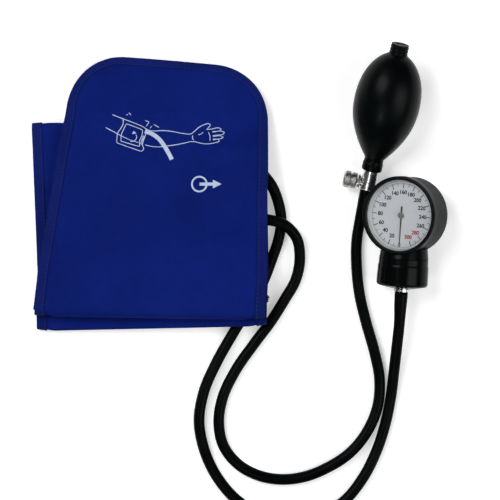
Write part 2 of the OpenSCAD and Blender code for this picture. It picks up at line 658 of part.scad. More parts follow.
module intake_screen() {
    color("dimgray") at_bulb() translate([0, 0, -intake_start - 0.7]) difference() {
        cylinder(r = 3 - slip, h = 0.5);
        for (x = [-1.6:0.8:1.6], y = [-1.6:0.8:1.6]) translate([x, y, -1]) cylinder(r = 0.25, h = 3);
    }
}
module intake_ball() {
    color("silver") at_bulb() translate([0, 0, intake_cage - slip - ball_r]) sphere(r = ball_r);
}
module outlet_ball() {
    color("silver") at_bulb() translate([0, 0, outlet_cage - slip - ball_r]) sphere(r = ball_r);
}
module check_cages() {
    color("gray") at_bulb() for (h = [intake_cage, outlet_cage]) translate([0, 0, h]) cage();
}
module outlet_seat() {
    color("goldenrod") at_bulb() translate([0, 0, chamber_start]) ring(chamber_r - slip, seat_r, 0, 2.4);
}
module valve_body() {
    color("silver") difference() {
        union() {
            at_bulb() {
                translate([0, 0, chamber_start]) cylinder(r = spigot_r, h = valve_start - chamber_start + 1);
                translate([0, 0, valve_start + slip]) cylinder(r1 = valve_r - 0.3, r2 = valve_r, h = 0.3);
                translate([0, 0, valve_start + 0.3]) cylinder(r = valve_r, h = valve_len - 0.6);
                translate([0, 0, valve_end - 0.3]) cylinder(r1 = valve_r, r2 = valve_r - 0.3, h = 0.3);
                translate([0, 0, valve_end - 1]) cylinder(r = nipple_r - 0.3, h = valve_nipple_len + 1);
                translate([0, 0, valve_end]) barbs(nipple_r - slip, 1.5, 3, 2.4);
            }
            at_knob() {
                cylinder(r = boss_r, h = boss_end);
                translate([0, 0, boss_end]) cylinder(r1 = boss_r, r2 = flange_r, h = 0.4);
                translate([0, 0, boss_end + 0.4]) cylinder(r = flange_r, h = flange_end - boss_end - 0.4);
            }
        }
        at_bulb() {
            translate([0, 0, chamber_start - 1]) cylinder(r = chamber_r, h = outlet_cage + cage_t - chamber_start + 1);
            translate([0, 0, chamber_start - 1])
                cylinder(r = valve_bore_r, h = valve_end + valve_nipple_len - chamber_start + 2);
        }
        at_knob() translate([0, 0, 1.5]) cylinder(r = spindle_r + run, h = 10);
        at_knob() translate([-boss_r - 1, 0, boss_end - 0.6]) rotate([0, 90, 0]) cylinder(r = 0.5, h = boss_r);
    }
}

// The seal slides out as the spindle is turned; the spindle and knob turn on it
seal_start = 1.5 + 2 * slip;
seal_h = 1;
module valve_seal() {
    color("black") at_knob() translate([0, 0, seal_start]) cylinder(r = spindle_r, h = seal_h);
}
module valve_spindle() {
    color("gray") at_knob() translate([0, 0, seal_start + seal_h + slip])
        cylinder(r = spindle_r, h = knob_start + knob_len - 1 - seal_start - seal_h - 2 * slip);
}
module fluted(r, h, depth) {
    linear_extrude(h) polygon([for (i = [0:2 * knob_flutes - 1])
        let (a = 180 * i / knob_flutes) (r - depth * (i % 2)) * [cos(a), sin(a)]]);
}
module valve_knob() {
    inner_len = knob_len * 0.42;
    outer_len = knob_len - inner_len - knob_groove - 0.8;
    color("lightgray") at_knob() translate([0, 0, knob_start]) difference() {
        union() {
            fluted(knob_r - 0.2, inner_len, 0.35);
            cylinder(r = knob_r - 0.9, h = knob_len - 0.4);
            translate([0, 0, inner_len + knob_groove]) fluted(knob_r, outer_len, 0.35);
            translate([0, 0, knob_len - 0.8]) cylinder(r1 = knob_r - 0.3, r2 = knob_r - 1.2, h = 0.8);
        }
        translate([0, 0, -1]) cylinder(r = spindle_r + slip / 2, h = knob_len);
    }
}

// Gauge case, bezel, lens and dial
module gauge_case() {
    wall = [[ledge_r, -dial_bottom - slip], [case_in_r, -dial_bottom - slip], [case_in_r, -lens_bottom],
        [case_r, -lens_bottom], [case_r, -case_depth + case_edge_r],
        each [for (a = [22.5:22.5:90])
            [rest_a + case_edge_r * cos(a), -case_depth + case_edge_r - case_edge_r * sin(a)]],
        [0, -case_depth], [0, -back_in], [case_in_r, -back_in], [case_in_r, -dial_bottom - ledge_t - 1.2],
        [ledge_r, -dial_bottom - ledge_t]];
    color("dimgray") difference() {
        union() {
            at_gauge() {
                rotate_extrude() polygon(wall);
                for (p = mount_places) translate(p) level(2.2, 0, rear_plate_top + plate_t, back_in + 0.5);
            }
        }
        at_stem() cylinder(r = neck_r + slip, h = case_r + 2);
        at_gauge() for (p = mount_places) translate(p) level(mount_screw_r + slip / 2, 0, rear_plate_top, back_in - 1);
    }
}
module bezel() {
    color("black") at_gauge() rotate_extrude() polygon([[window_r, -0.3], [window_r + 0.4, 0], [bezel_r - 0.8, 0],
        [bezel_r - 0.23, -0.23], [bezel_r, -0.8], [bezel_r, -bezel_h], [case_r + slip, -bezel_h],
        [case_r + slip, -lip_t], [window_r, -lip_t]]);
}
module lens() {
    color([0.8, 0.9, 1, 0.4]) at_gauge() level(case_r - slip, 0, lens_top, lens_bottom - slip);
}
module lens_gasket() {
    color("black") at_gauge() level(case_in_r - slip, window_r, lens_bottom, lens_bottom + gasket_t);
}
module dial_ring() {
    color("lightgray") at_gauge() rotate_extrude() polygon([[case_in_r - slip, -lens_bottom - gasket_t - slip],
        [window_r - 0.2, -lens_bottom - gasket_t - slip], [window_r - 1.1, -dial_top + slip],
        [case_in_r - slip, -dial_top + slip]]);
}
module dial_plate() {
    color("whitesmoke") at_gauge() level(case_in_r - slip, 1.3, dial_top, dial_bottom);
}

// Pointer train: pointer and hub on the pinion's staff
pointer_top = 4.5;
pointer_t = 0.25;
hub_top = 3.4;
hub_r = 1.8;
module pointer() {
    tail = 5.5;
    color("black") at_gauge() translate([0, 0, -pointer_top - pointer_t]) linear_extrude(pointer_t) difference() {
        union() {
            circle(r = 1.5);
            polygon([[-0.42, 0], [-0.2, -pointer_r + 0.6], [0, -pointer_r], [0.2, -pointer_r + 0.6], [0.42, 0],
                [0.55, tail], [-0.55, tail]]);
        }
        circle(r = 0.9 + slip);
    }
}
module pointer_hub() {
    color("gray") at_gauge() difference() {
        union() {
            level(hub_r, 0, hub_top, pointer_top - slip);
            level(0.9, 0, hub_top, pointer_top + pointer_t + 0.1);
        }
        level(staff_r + slip / 2, 0, hub_top + 0.3, dial_top);
    }
}

// Involute teeth
function inv(a) = tan(a) * 180 / PI - a;
function tooth_half(r, pr) = let (rb = pr * cos(pressure))
    ((PI * gear_m / 2 - backlash) / 2 / pr) * 180 / PI + inv(pressure) - inv(acos(min(1, rb / r)));
function tooth(pr, root, tip, at) = let (rs = [root, for (i = [0:3]) lerp(max(root, pr * cos(pressure)), tip, i / 3)])
    concat([for (r = rs) r * [cos(at - tooth_half(r, pr)), sin(at - tooth_half(r, pr))]],
        [for (i = [len(rs) - 1:-1:0]) let (r = rs[i]) r * [cos(at + tooth_half(r, pr)), sin(at + tooth_half(r, pr))]]);
module pinion_staff() {
    root = centre_d - sector_tip_r - tip_gap;
    color("gold") at_gauge() {
        level(staff_r, 0, hub_top + 0.4, rear_plate_top + plate_t + 0.4);
        translate([0, 0, -movement_z - gear_t]) linear_extrude(2 * gear_t)
            polygon([for (i = [0:pinion_teeth - 1]) each tooth(pinion_pr, root, pinion_tip_r,
                mesh_a + 180 + 360 * i / pinion_teeth)]);
    }
}
module sector_gear() {
    root = centre_d - pinion_tip_r - tip_gap;
    pitch = 360 / sector_teeth;
    first = mesh_a + 1.5 * pitch;
    count = ceil(sector_swing / pitch) + 3;
    low = first - (count - 0.5) * pitch;
    rim_in = root - 1;
    rim = concat([for (i = [count - 1:-1:0]) each tooth(sector_pr, root, sector_tip_r, first - i * pitch)],
        [for (a = [0:8]) let (b = lerp(first + 0.5 * pitch, low, a / 8)) rim_in * [cos(b), sin(b)]]);
    color("goldenrod") at_gauge() translate([pivot_x, pivot_y, -movement_z - gear_t / 2]) linear_extrude(gear_t)
        difference() {
            union() {
                polygon(rim);
                circle(r = 1.5);
                for (a = [low + 4, first - 4]) rotate(a) translate([0, -0.55]) square([rim_in + 0.4, 1.1]);
                rotate(-sector_swing / 2) {
                    translate([0, -0.4]) square([lever_len, 0.8]);
                    translate([lever_len, 0]) circle(r = lever_tip_r);
                }
            }
            circle(r = sector_staff_r + slip / 2);
        }
}
module sector_staff() {
    color("silver") at_gauge() translate([pivot_x, pivot_y, 0]) {
        level(sector_staff_r, 0, front_plate_top - 0.3, rear_plate_top + plate_t + 0.3);
    }
}

// Movement frame: two plates on three pillars
module plate(r, top, windows) {
    at_gauge() difference() {
        translate([plate_x, plate_y, 0]) level(r, 0, top, top + plate_t);
        level(staff_r + run, 0, top - 1, top + plate_t + 1);
        translate([pivot_x, pivot_y, 0]) level(sector_staff_r + run, 0, top - 1, top + plate_t + 1);
        for (p = pillar_places) translate(p) level(pillar_pin_r + slip / 2, 0, top - 1, top + plate_t + 1);
        for (p = windows) translate([p[0], p[1], 0]) level(p[2], 0, top - 1, top + plate_t + 1);
    }
}
module front_plate() {
    color("goldenrod") plate(front_plate_r, front_plate_top, [[6.5, 5, 2.6], [-7.5, 5, 2.6], [3.5, -10.5, 2.2]]);
}
module rear_plate() {
    color("goldenrod") difference() {
        plate(rear_plate_r, rear_plate_top, [[5.5, 3.5, 2.6], [-6.5, 3.5, 2.6], [4, -8, 2.2]]);
        at_gauge() for (p = mount_places) translate(p)
            level(mount_screw_r + slip / 2, 0, rear_plate_top - 1, rear_plate_top + plate_t + 1);
    }
}
module plate_pillars() {
    color("silver") at_gauge() for (p = pillar_places) translate(p) difference() {
        union() {
            level(pillar_r, 0, front_plate_top + plate_t, rear_plate_top);
            level(pillar_pin_r, 0, front_plate_top + plate_t, rear_plate_top + plate_t + 0.3);
        }
        level(0.45, 0, front_plate_top, front_plate_top + plate_t + 3);
    }
}
module screw(top, bottom, head_r, head_h, r) {
    difference() {
        union() {
            level(head_r, 0, top - head_h, top);
            level(r, 0, top, bottom);
        }
        translate([-head_r - 1, -0.2, -top + head_h / 2]) cube([2 * head_r + 2, 0.4, head_h]);
    }
}
module pillar_screws() {
    color("silver") at_gauge() for (p = pillar_places) translate(p)
        screw(front_plate_top, front_plate_top + plate_t + 2.6, 1.2, 0.6, 0.42);
}
module movement_screws() {
    color("silver") at_gauge() for (p = mount_places) translate(p)
        screw(rear_plate_top, rear_plate_top + plate_t + 3, 1.3, 0.7, mount_screw_r);
}

// Hairspring: a flat spiral between the staff's collet and a stud on the front plate
spring_top = front_plate_top + plate_t + 0.4;
spring_h = 0.5;
spring_t = 0.12;
function spiral(a, side) = let (r = lerp(collet_r + 0.15, spring_out_r, a / 360 / spring_turns) + side * spring_t / 2)
    r * [cos(a), sin(a)];
module hairspring() {
    turn = 360 * spring_turns;
    color("steelblue") at_gauge() translate([0, 0, -spring_top - spring_h]) linear_extrude(spring_h) polygon(concat(
        [for (a = [0:20:turn]) spiral(a, 1)], [for (a = [turn:-20:0]) spiral(a, -1)]));
}
module hairspring_collet() {
    color("gold") at_gauge() level(collet_r, staff_r + slip / 2, spring_top - 0.1, spring_top + spring_h + 0.1);
}
module hairspring_stud() {
    color("gold") at_gauge() translate([spring_out_r + spring_t / 2 + 0.45 + slip, 0, 0])
        level(0.45, 0, front_plate_top + plate_t, spring_top + spring_h + 0.1);
}

// Capsule housing, cup and capsule, all on the stem's axis
module capsule_housing() {
    color("black") difference() {
        at_stem() difference() {
            union() {
                rotate_extrude() polygon([[0, housing_top], [housing_top_r, housing_top], [seam_r, cup_seam - 0.2],
                    [seam_r - 0.2, cup_seam], [cup_bore_r - slip, cup_seam], [cup_bore_r - slip, cup_seam + spigot_len],
                    [cup_bore_r - 1.6, cup_seam + spigot_len], [cup_bore_r - 1.6, cup_seam - 2],
                    [0, cup_seam - 2]]);
                translate([0, 0, neck_nut_top - 0.6]) cylinder(r = neck_r, h = housing_top + 1 - neck_nut_top);
            }
            translate([0, 0, neck_nut_top - 2]) cylinder(r = rod_r + run, h = 12);
        }
        at_gauge() difference() {
            level(case_r + slip, 0, -9, case_depth + 9);
            translate([0, 0, -cup_axis]) rotate([90, 0, 0]) cylinder(r = neck_r, h = case_r);
        }
        at_gauge() level(bezel_r + seat, 0, -12, bezel_h + seat);
    }
}
module neck_nut() {
    color("silver") at_stem() translate([0, 0, neck_nut_top]) difference() {
        cylinder(r = neck_nut_r, h = neck_nut_h, $fn = 6);
        translate([0, 0, -1]) cylinder(r = neck_r + slip / 2, h = neck_nut_h + 2);
    }
}
module housing_seal() {
    color("black") at_stem() ring(cup_bore_r - slip, cup_bore_r - 1.6, cup_seam + spigot_len + slip,
        cup_seam + spigot_len + 0.9);
}
module base_cup() {
    color("black") at_stem() difference() {
        rotate_extrude() polygon([[0, cup_seam + slip], [seam_r - 0.2, cup_seam + slip], [seam_r, cup_seam + 0.25],
            [cup_r - 0.55, cup_upper_end - 0.5], [cup_r - 0.3, cup_upper_end + 0.2], [cup_r, cup_side_end],
            [cup_r - 0.9, cup_side_end + 1.1],
            each [for (i = [1:6]) let (r = (cup_r - 0.9) * (1 - i / 6))
                [r, lerp(cup_end, cup_side_end + 1.1, pow(r / (cup_r - 0.9), 2))]]]);
        translate([0, 0, cup_seam - 1]) cylinder(r = cup_bore_r, h = cup_floor - cup_seam + 1);
        translate([0, 0, cup_floor - 1]) cylinder(r = stem_r + slip, h = 10);
    }
}
function skin_line(side) = [for (i = [0:24]) let (u = i / 24, r = lerp(capsule_flat_r, capsule_r - 0.9, u))
    [r, side * (capsule_dish * u + capsule_wave * sin(1080 * u))]];
module skin(base, side, hole) {
    line = concat([[hole, 0]], skin_line(side), [[capsule_r, side * capsule_dish]]);
    at_stem() translate([0, 0, base]) rotate_extrude() polygon(concat(line,
        [for (i = [len(line) - 1:-1:0]) line[i] + [0, side * skin_t]]));
}
module capsule_lower() {
    color("goldenrod") skin(capsule_base, -1, 1.6);
}
module capsule_upper() {
    color("goldenrod") skin(capsule_top, 1, 0.4);
}
module capsule_boss() {
    color("silver") at_stem() translate([0, 0, capsule_top - slip - boss_h]) cylinder(r = 2.4, h = boss_h);
}
module push_rod() {
    color("silver") at_stem() translate([0, 0, rod_top])
        cylinder(r = rod_r, h = capsule_top - slip - boss_h - rod_top);
}
module nipple_nut() {
    color("silver") at_stem() translate([0, 0, cup_floor - nut_h]) difference() {
        cylinder(r = 4.6, h = nut_h - slip, $fn = 6);
        translate([0, 0, -1]) cylinder(r = stem_r + slip / 2, h = nut_h + 2);
    }
}
module gauge_nipple() {
    color("silver") at_stem() difference() {
        union() {
            translate([0, 0, cup_floor - nut_h + 0.2]) cylinder(r = stem_r, h = cup_end - cup_floor + nut_h);
            translate([0, 0, capsule_base - 0.2]) cylinder(r = 1.5, h = 2);
            translate([0, 0, cup_end + slip]) cylinder(r = collar_r, h = collar_h - slip);
            translate([0, 0, cup_end]) cylinder(r = nipple_r - 0.3, h = collar_h + gauge_nipple_len);
            translate([0, 0, cup_end + collar_h]) barbs(nipple_r - slip, 2, 3, 3);
        }
        translate([0, 0, capsule_base - 1]) cylinder(r = 1, h = cup_end + collar_h + gauge_nipple_len - capsule_base + 2);
    }
}

cuff_outer_ply();
cuff_inner_ply();
edge_tape();
bladder();
bladder_ports();
hook_patch();
loop_patch();
ring_loop();
closure_ring();
gauge_hose();
bulb_hose();
bulb_shell();
intake_body();
intake_screen();
intake_ball();
check_cages();
outlet_ball();
outlet_seat();
valve_body();
valve_seal();
valve_spindle();
valve_knob();
gauge_case();
bezel();
lens();
lens_gasket();
dial_ring();
dial_plate();
pointer();
pointer_hub();
pinion_staff();
sector_gear();
sector_staff();
front_plate();
rear_plate();
plate_pillars();
pillar_screws();
movement_screws();
hairspring();
hairspring_collet();
hairspring_stud();
capsule_housing();
neck_nut();
housing_seal();
base_cup();
capsule_lower();
capsule_upper();
capsule_boss();
push_rod();
nipple_nut();
gauge_nipple();
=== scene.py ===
"""A blood pressure set on a pale table, seen from straight above: a folded arm cuff, two rubber hoses,
a dial gauge and a squeeze bulb with a release valve. Sizes of pieces are in millimetres."""

import math

import bpy
import numpy as np
from mathutils import Matrix, Vector


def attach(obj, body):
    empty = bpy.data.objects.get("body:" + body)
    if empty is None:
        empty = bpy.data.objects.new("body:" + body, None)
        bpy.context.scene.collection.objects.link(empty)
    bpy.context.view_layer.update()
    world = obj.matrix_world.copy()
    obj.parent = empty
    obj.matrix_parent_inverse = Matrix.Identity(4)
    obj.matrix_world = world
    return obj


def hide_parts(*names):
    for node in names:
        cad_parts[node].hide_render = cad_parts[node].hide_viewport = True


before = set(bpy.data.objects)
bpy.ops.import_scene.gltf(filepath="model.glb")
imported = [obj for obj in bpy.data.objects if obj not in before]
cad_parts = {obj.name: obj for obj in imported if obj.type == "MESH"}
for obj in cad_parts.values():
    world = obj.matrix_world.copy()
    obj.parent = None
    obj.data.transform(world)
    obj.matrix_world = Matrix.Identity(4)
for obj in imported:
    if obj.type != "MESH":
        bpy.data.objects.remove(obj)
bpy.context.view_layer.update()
scene = bpy.context.scene
scene.view_settings.view_transform = "Standard"

# Camera
# The set is looked at from straight above through a long lens, so that upright walls hardly show.
# The view is 317.5 mm wide, and its middle lies between the cuff and the gauge.
view_width = 0.3175
view_middle = (0.0634, -0.0159)
camera_height = 3.0
camera_data = bpy.data.cameras.new("camera")
camera_data.lens = camera_data.sensor_width * camera_height / view_width
camera = bpy.data.objects.new("camera", camera_data)
camera.location = (*view_middle, camera_height)
scene.collection.objects.link(camera)
scene.camera = camera

# Hoses
# Two black rubber hoses, 7 mm thick with a 4.4 mm bore. Each is pushed over a barbed nozzle of the
# bladder at one end, and over the barbed nipple of the gauge or of the bulb's valve at the other.
MM = 0.001


def ease(u):
    """From 0 to 1 with soft ends, as u goes from 0 to 1."""
    u = np.clip(u, 0, 1)
    return u * u * (3 - 2 * u)


def between(v, start, full, fall, end):
    """Rises softly from 0 to 1 from start to full, and falls again from fall to end."""
    return ease((v - start) / (full - start)) * ease((end - v) / (end - fall))


def unit(v):
    v = np.asarray(v, float)
    return v / np.linalg.norm(v, axis=-1, keepdims=True)


def new_piece(name, points, faces, material, uv=None, smooth=True, closed=True):
    """A mesh from points in millimetres. A closed shell is turned so that its faces point outwards."""
    points = np.asarray(points, float).reshape(-1, 3) * MM
    mesh = bpy.data.meshes.new(name)
    mesh.from_pydata(points.tolist(), [], faces)
    if closed:
        mesh.calc_loop_triangles()
        corner = np.zeros(len(mesh.loop_triangles) * 3, np.int32)
        mesh.loop_triangles.foreach_get("vertices", corner)
        a, b, c = points[corner.reshape(-1, 3)].transpose(1, 0, 2)
        if (a * np.cross(b, c)).sum() < 0:
            mesh.flip_normals()
    mesh.polygons.foreach_set("use_smooth", [smooth] * len(mesh.polygons))
    if uv is not None:
        layer = mesh.uv_layers.new(name="laid")
        owner = np.zeros(len(mesh.loops), np.int32)
        mesh.loops.foreach_get("vertex_index", owner)
        layer.data.foreach_set("uv", np.asarray(uv, np.float32).reshape(-1, 2)[owner].ravel())
    mesh.materials.append(material)
    mesh.update()
    obj = bpy.data.objects.new(name, mesh)
    scene.collection.objects.link(obj)
    return obj


def quads(rows, columns, joined=False):
    """Faces between neighbouring rows, each a closed ring of points; joined links the last to the first."""
    made = []
    for i in range(rows if joined else rows - 1):
        below, above = i * columns, (i + 1) % rows * columns
        for j in range(columns):
            k = (j + 1) % columns
            made.append((below + j, below + k, above + k, above + j))
    return made


class Finish:
    """A material in the making: nodes are added by kind, and an input that is a socket is linked."""

    def __init__(self, name, colour, rough, shine=None, **values):
        self.material = bpy.data.materials.new(name)
        self.material.use_nodes = True
        self.tree = self.material.node_tree
        self.skin = self.tree.nodes["Principled BSDF"]
        self.skin.inputs["Base Color"].default_value = (*colour, 1)
        self.skin.inputs["Roughness"].default_value = rough
        if shine is not None:
            values.update(IOR=1.5, Specular_IOR_Level=shine)
        for key, value in values.items():
            self.skin.inputs[key.replace("_", " ")].default_value = value

    def add(self, kind, inputs=(), **props):
        node = self.tree.nodes.new(kind)
        for key, value in props.items():
            setattr(node, key, value)
        for key, value in dict(inputs).items():
            if isinstance(value, bpy.types.NodeSocket):
                self.tree.links.new(value, node.inputs[key])
            else:
                node.inputs[key].default_value = value
        return node

    def place(self, source="Object", scale=(1, 1, 1)):
        coords = self.add("ShaderNodeTexCoord").outputs[source]
        return self.add("ShaderNodeMapping", {"Vector": coords, "Scale": scale}).outputs[0]

    def noise(self, scale, detail=3.0, where=None):
        return self.add("ShaderNodeTexNoise", {"Vector": where or self.place(), "Scale": scale,
                                               "Detail": detail}).outputs["Fac"]

    def maths(self, operation, a, b=0.0):
        return self.add("ShaderNodeMath", {0: a, 1: b}, operation=operation).outputs[0]

    def total(self, *parts):
        """The sum of some values, each times its weight."""
        made = self.maths("MULTIPLY", *parts[0])
        for value, weight in parts[1:]:
            step = self.add("ShaderNodeMath", {0: value, 1: weight, 2: made}, operation="MULTIPLY_ADD")
            made = step.outputs[0]
        return made

    def span(self, value, low, high, start=0.0, end=1.0):
        return self.add("ShaderNodeMapRange", {"Value": value, "From Min": low, "From Max": high,
                                               "To Min": start, "To Max": end}).outputs[0]

    def set(self, key, value):
        self.tree.links.new(value, self.skin.inputs[key])

    def paint(self, share, first, second):
        """The colour goes from the first to the second as share goes from 0 to 1."""
        mixed = self.add("ShaderNodeMix", {0: share, 6: (*first, 1), 7: (*second, 1)}, data_type="RGBA")
        self.set("Base Color", mixed.outputs[2])

    def roughen(self, cloud, low, high):
        """Roughness between two levels, after a noise."""
        self.set("Roughness", self.span(cloud, 0.3, 0.7, low, high))

    def bump(self, height, distance, strength=1.0, after=None):
        values = {"Height": height, "Distance": distance * MM, "Strength": strength}
        if after:
            values["Normal"] = after
        normal = self.add("ShaderNodeBump", values).outputs[0]
        self.set("Normal", normal)
        return normal


def black_rubber(name, colour, rough, grain):
    """Moulded rubber: nearly black, with a fine grain, a dusty bloom and an uneven gloss."""
    rubber = Finish(name, colour, rough, shine=0.03)
    cloud = rubber.noise(60, 4)
    rubber.paint(rubber.span(cloud, 0.35, 0.7), colour, [c * 1.5 + 0.001 for c in colour])
    rubber.roughen(cloud, rough - 0.05, rough + 0.07)
    rubber.bump(rubber.noise(grain, 3), 0.05, 0.5)
    return rubber.material


hose_rubber = black_rubber("hose_rubber", (0.0012, 0.0018, 0.002), 0.32, 1500)
hose_r, hose_bore_r = 3.5, 2.26
hose_swell, swell_start, swell_fade = 0.7, 2, 20
hose_chamfer = 0.5
hose_step, hose_sides = 2.2, 28


def smooth_line(points, step):
    """Points about a step apart on one smooth curve through the given points."""
    p = np.asarray(points, float)
    gap = np.linalg.norm(np.diff(p, axis=0), axis=1)
    pace = np.diff(p, axis=0) / gap[:, None]
    slope = np.empty_like(p)
    slope[1:-1] = (pace[:-1] * gap[1:, None] + pace[1:] * gap[:-1, None]) / (gap[:-1] + gap[1:])[:, None]
    slope[0], slope[-1] = pace[0], pace[-1]
    made = []
    for i, g in enumerate(gap):
        parts = max(1, round(g / step))
        for u in np.arange(parts) / parts:
            made.append((2 * u**3 - 3 * u**2 + 1) * p[i] + (u**3 - 2 * u**2 + u) * g * slope[i]
                        + (3 * u**2 - 2 * u**3) * p[i + 1] + (u**3 - u**2) * g * slope[i + 1])
    return np.array(made + [p[-1]])


def walked(line):
    """How far each point of a line is from its start, measured along it."""
    return np.concatenate([[0], np.cumsum(np.linalg.norm(np.diff(line, axis=0), axis=1))])


def laid_out(across, along):
    """Flat places in millimetres for rows of points."""
    return np.stack(np.broadcast_arrays(across[None], along[:, None]), -1)


def hose(name, route):
    """A bored tube along a route, swollen a little at its ends, with its line and its length."""
    line = smooth_line(np.array(route) / MM, hose_step)
    along = unit(np.gradient(line, walked(line), axis=0))
    inset = along[[0, -1]] * hose_chamfer
    line = np.concatenate([line[:1], line[:1] + inset[:1], line[1:-1], line[-1:] - inset[1:], line[-1:]])
    along = np.concatenate([along[:1], along, along[-1:]])
    walk = walked(line)
    side = unit(np.cross((0, 0, 1), along))
    up = np.cross(along, side)
    to_end = np.minimum(walk, walk[-1] - walk)
    radius = hose_r + hose_swell * (1 - ease((to_end - swell_start) / swell_fade))
    radius[[0, -1]] -= 0.9 * hose_chamfer
    angle = np.arange(hose_sides) * math.tau / hose_sides
    ring = np.cos(angle)[:, None] * side[:, None] + np.sin(angle)[:, None] * up[:, None]
    outer = line[:, None] + radius[:, None, None] * ring
    bore = line[:, None] + hose_bore_r * ring
    rows = np.concatenate([outer, bore[::-1]])
    made = new_piece(name, rows, quads(len(rows), hose_sides, joined=True), hose_rubber,
                     laid_out(angle * hose_r, np.concatenate([walk, walk[::-1]])))
    return made, line * MM, walk[-1] * MM


bulb_route = [(0.0577, 0.0034, 0.0113), (0.066, 0.0034, 0.0113), (0.0754, 0.0031, 0.0113),
    (0.085, 0.0002, 0.0111), (0.0924, -0.0074, 0.0086), (0.095, -0.021, 0.0046),
    (0.0923, -0.035, 0.0035), (0.0852, -0.0476, 0.0035), (0.0768, -0.061, 0.0035),
    (0.0663, -0.075, 0.0035), (0.0537, -0.0932, 0.0035), (0.0459, -0.11, 0.0035),
    (0.0436, -0.126, 0.0035), (0.0465, -0.1399, 0.0035), (0.056, -0.1519, 0.0035),
    (0.0692, -0.159, 0.0035), (0.0835, -0.1614, 0.0035), (0.098, -0.1597, 0.0035),
    (0.1128, -0.1538, 0.0035), (0.1264, -0.1449, 0.0035), (0.1374, -0.1316, 0.0035),
    (0.1442, -0.1156, 0.0035), (0.1456, -0.098, 0.0035), (0.1422, -0.08, 0.0035),
    (0.1371, -0.062, 0.0035), (0.133, -0.0446, 0.0035), (0.131, -0.026, 0.0035),
    (0.1312, -0.009, 0.0035), (0.1332, 0.003, 0.0038), (0.135588, 0.013982, 0.0051),
    (0.137504, 0.022482, 0.007354)]
gauge_route = [(0.0537, 0.036, 0.0113), (0.0615, 0.036, 0.0113), (0.0693, 0.0336, 0.0113),
    (0.076, 0.0266, 0.0108), (0.081, 0.0155, 0.0068), (0.0832, 0.0025, 0.0037),
    (0.0814, -0.0095, 0.0035), (0.0775, -0.021, 0.0035), (0.0715, -0.0365, 0.0035),
    (0.0628, -0.052, 0.0035), (0.0525, -0.069, 0.0035), (0.0423, -0.087, 0.0035),
    (0.0338, -0.1069, 0.0035), (0.0311, -0.124, 0.0035), (0.0342, -0.142, 0.0035),
    (0.0419, -0.1589, 0.0035), (0.0543, -0.1738, 0.0035), (0.0706, -0.184, 0.0035),
    (0.0889, -0.1876, 0.0035), (0.1067, -0.1846, 0.0035), (0.1228, -0.1754, 0.0035),
    (0.1345, -0.1613, 0.0035), (0.1431, -0.1446, 0.0035), (0.149, -0.127, 0.0035),
    (0.1527, -0.109, 0.0039), (0.1547, -0.092, 0.007), (0.1564, -0.076, 0.0114),
    (0.1578, -0.062, 0.0145), (0.158405, -0.051135, 0.015464), (0.159032, -0.042172, 0.015987)]
for solid, route in (("bulb_hose", bulb_route), ("gauge_hose", gauge_route)):
    tube, middle, hose_length = hose("rubber_" + solid, route)
    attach(tube, "base")
    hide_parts(solid)

# Table and light
# A pale table top in a bright room, with soft lamps at the upper left, at the right and at the near side.
# The table glows faintly to the eye and in reflections, so that it is white, and it keeps its shadows.
table = Finish("table_top", (0.93, 0.93, 0.93), 0.7, Specular_IOR_Level=0.2)
table.paint(table.span(table.noise(30, 4), 0.3, 0.7), (0.92, 0.92, 0.925), (0.95, 0.95, 0.95))
paths = table.add("ShaderNodeLightPath").outputs
seen = table.maths("MAXIMUM", table.maths("MAXIMUM", paths["Is Camera Ray"], paths["Is Glossy Ray"]),
                   paths["Is Transmission Ray"])
table_glow = 0.42
table.set("Emission Strength", table.maths("MULTIPLY", seen, table_glow))
table.skin.inputs["Emission Color"].default_value = (1, 1, 1, 1)
table_half, table_level = 3000, -0.04
table_corners = [(x * table_half, y * table_half, table_level)
                 for x, y in ((-1, -1), (1, -1), (1, 1), (-1, 1))]
table_top = new_piece("table_top", table_corners, [(0, 1, 2, 3)], table.material, smooth=False, closed=False)

room = bpy.data.worlds.new("room")
scene.world = room
room.use_nodes = True
sky = room.node_tree
toward = sky.nodes.new("ShaderNodeTexCoord")
split = sky.nodes.new("ShaderNodeSeparateXYZ")
level = sky.nodes.new("ShaderNodeMapRange")
sky.links.new(toward.outputs["Generated"], split.inputs[0])
sky.links.new(split.outputs["Z"], level.inputs["Value"])
sky.links.new(level.outputs[0], sky.nodes["Background"].inputs["Strength"])
for key, value in (("From Min", -0.05), ("From Max", 0.95), ("To Min", 0.3), ("To Max", 0.62)):
    level.inputs[key].default_value = value


lamp_aim = Vector((0.06, -0.02, 0))


def soft_lamp(name, at, size, power):
    data = bpy.data.lights.new(name, "AREA")
    data.shape = "RECTANGLE"
    data.size, data.size_y = size
    data.energy = power
    lamp = bpy.data.objects.new(name, data)
    lamp.location = at
    lamp.rotation_mode = "QUATERNION"
    lamp.rotation_quaternion = (Vector(at) - lamp_aim).to_track_quat("Z", "Y")
    scene.collection.objects.link(lamp)


soft_lamp("lamp_left", (-0.75, 0.62, 1.5), (0.8, 1.1), 21)
soft_lamp("lamp_right", (1.25, -0.35, 1.25), (0.9, 1.2), 14)
soft_lamp("lamp_front", (-0.45, -0.95, 1.5), (0.5, 0.5), 4.5)

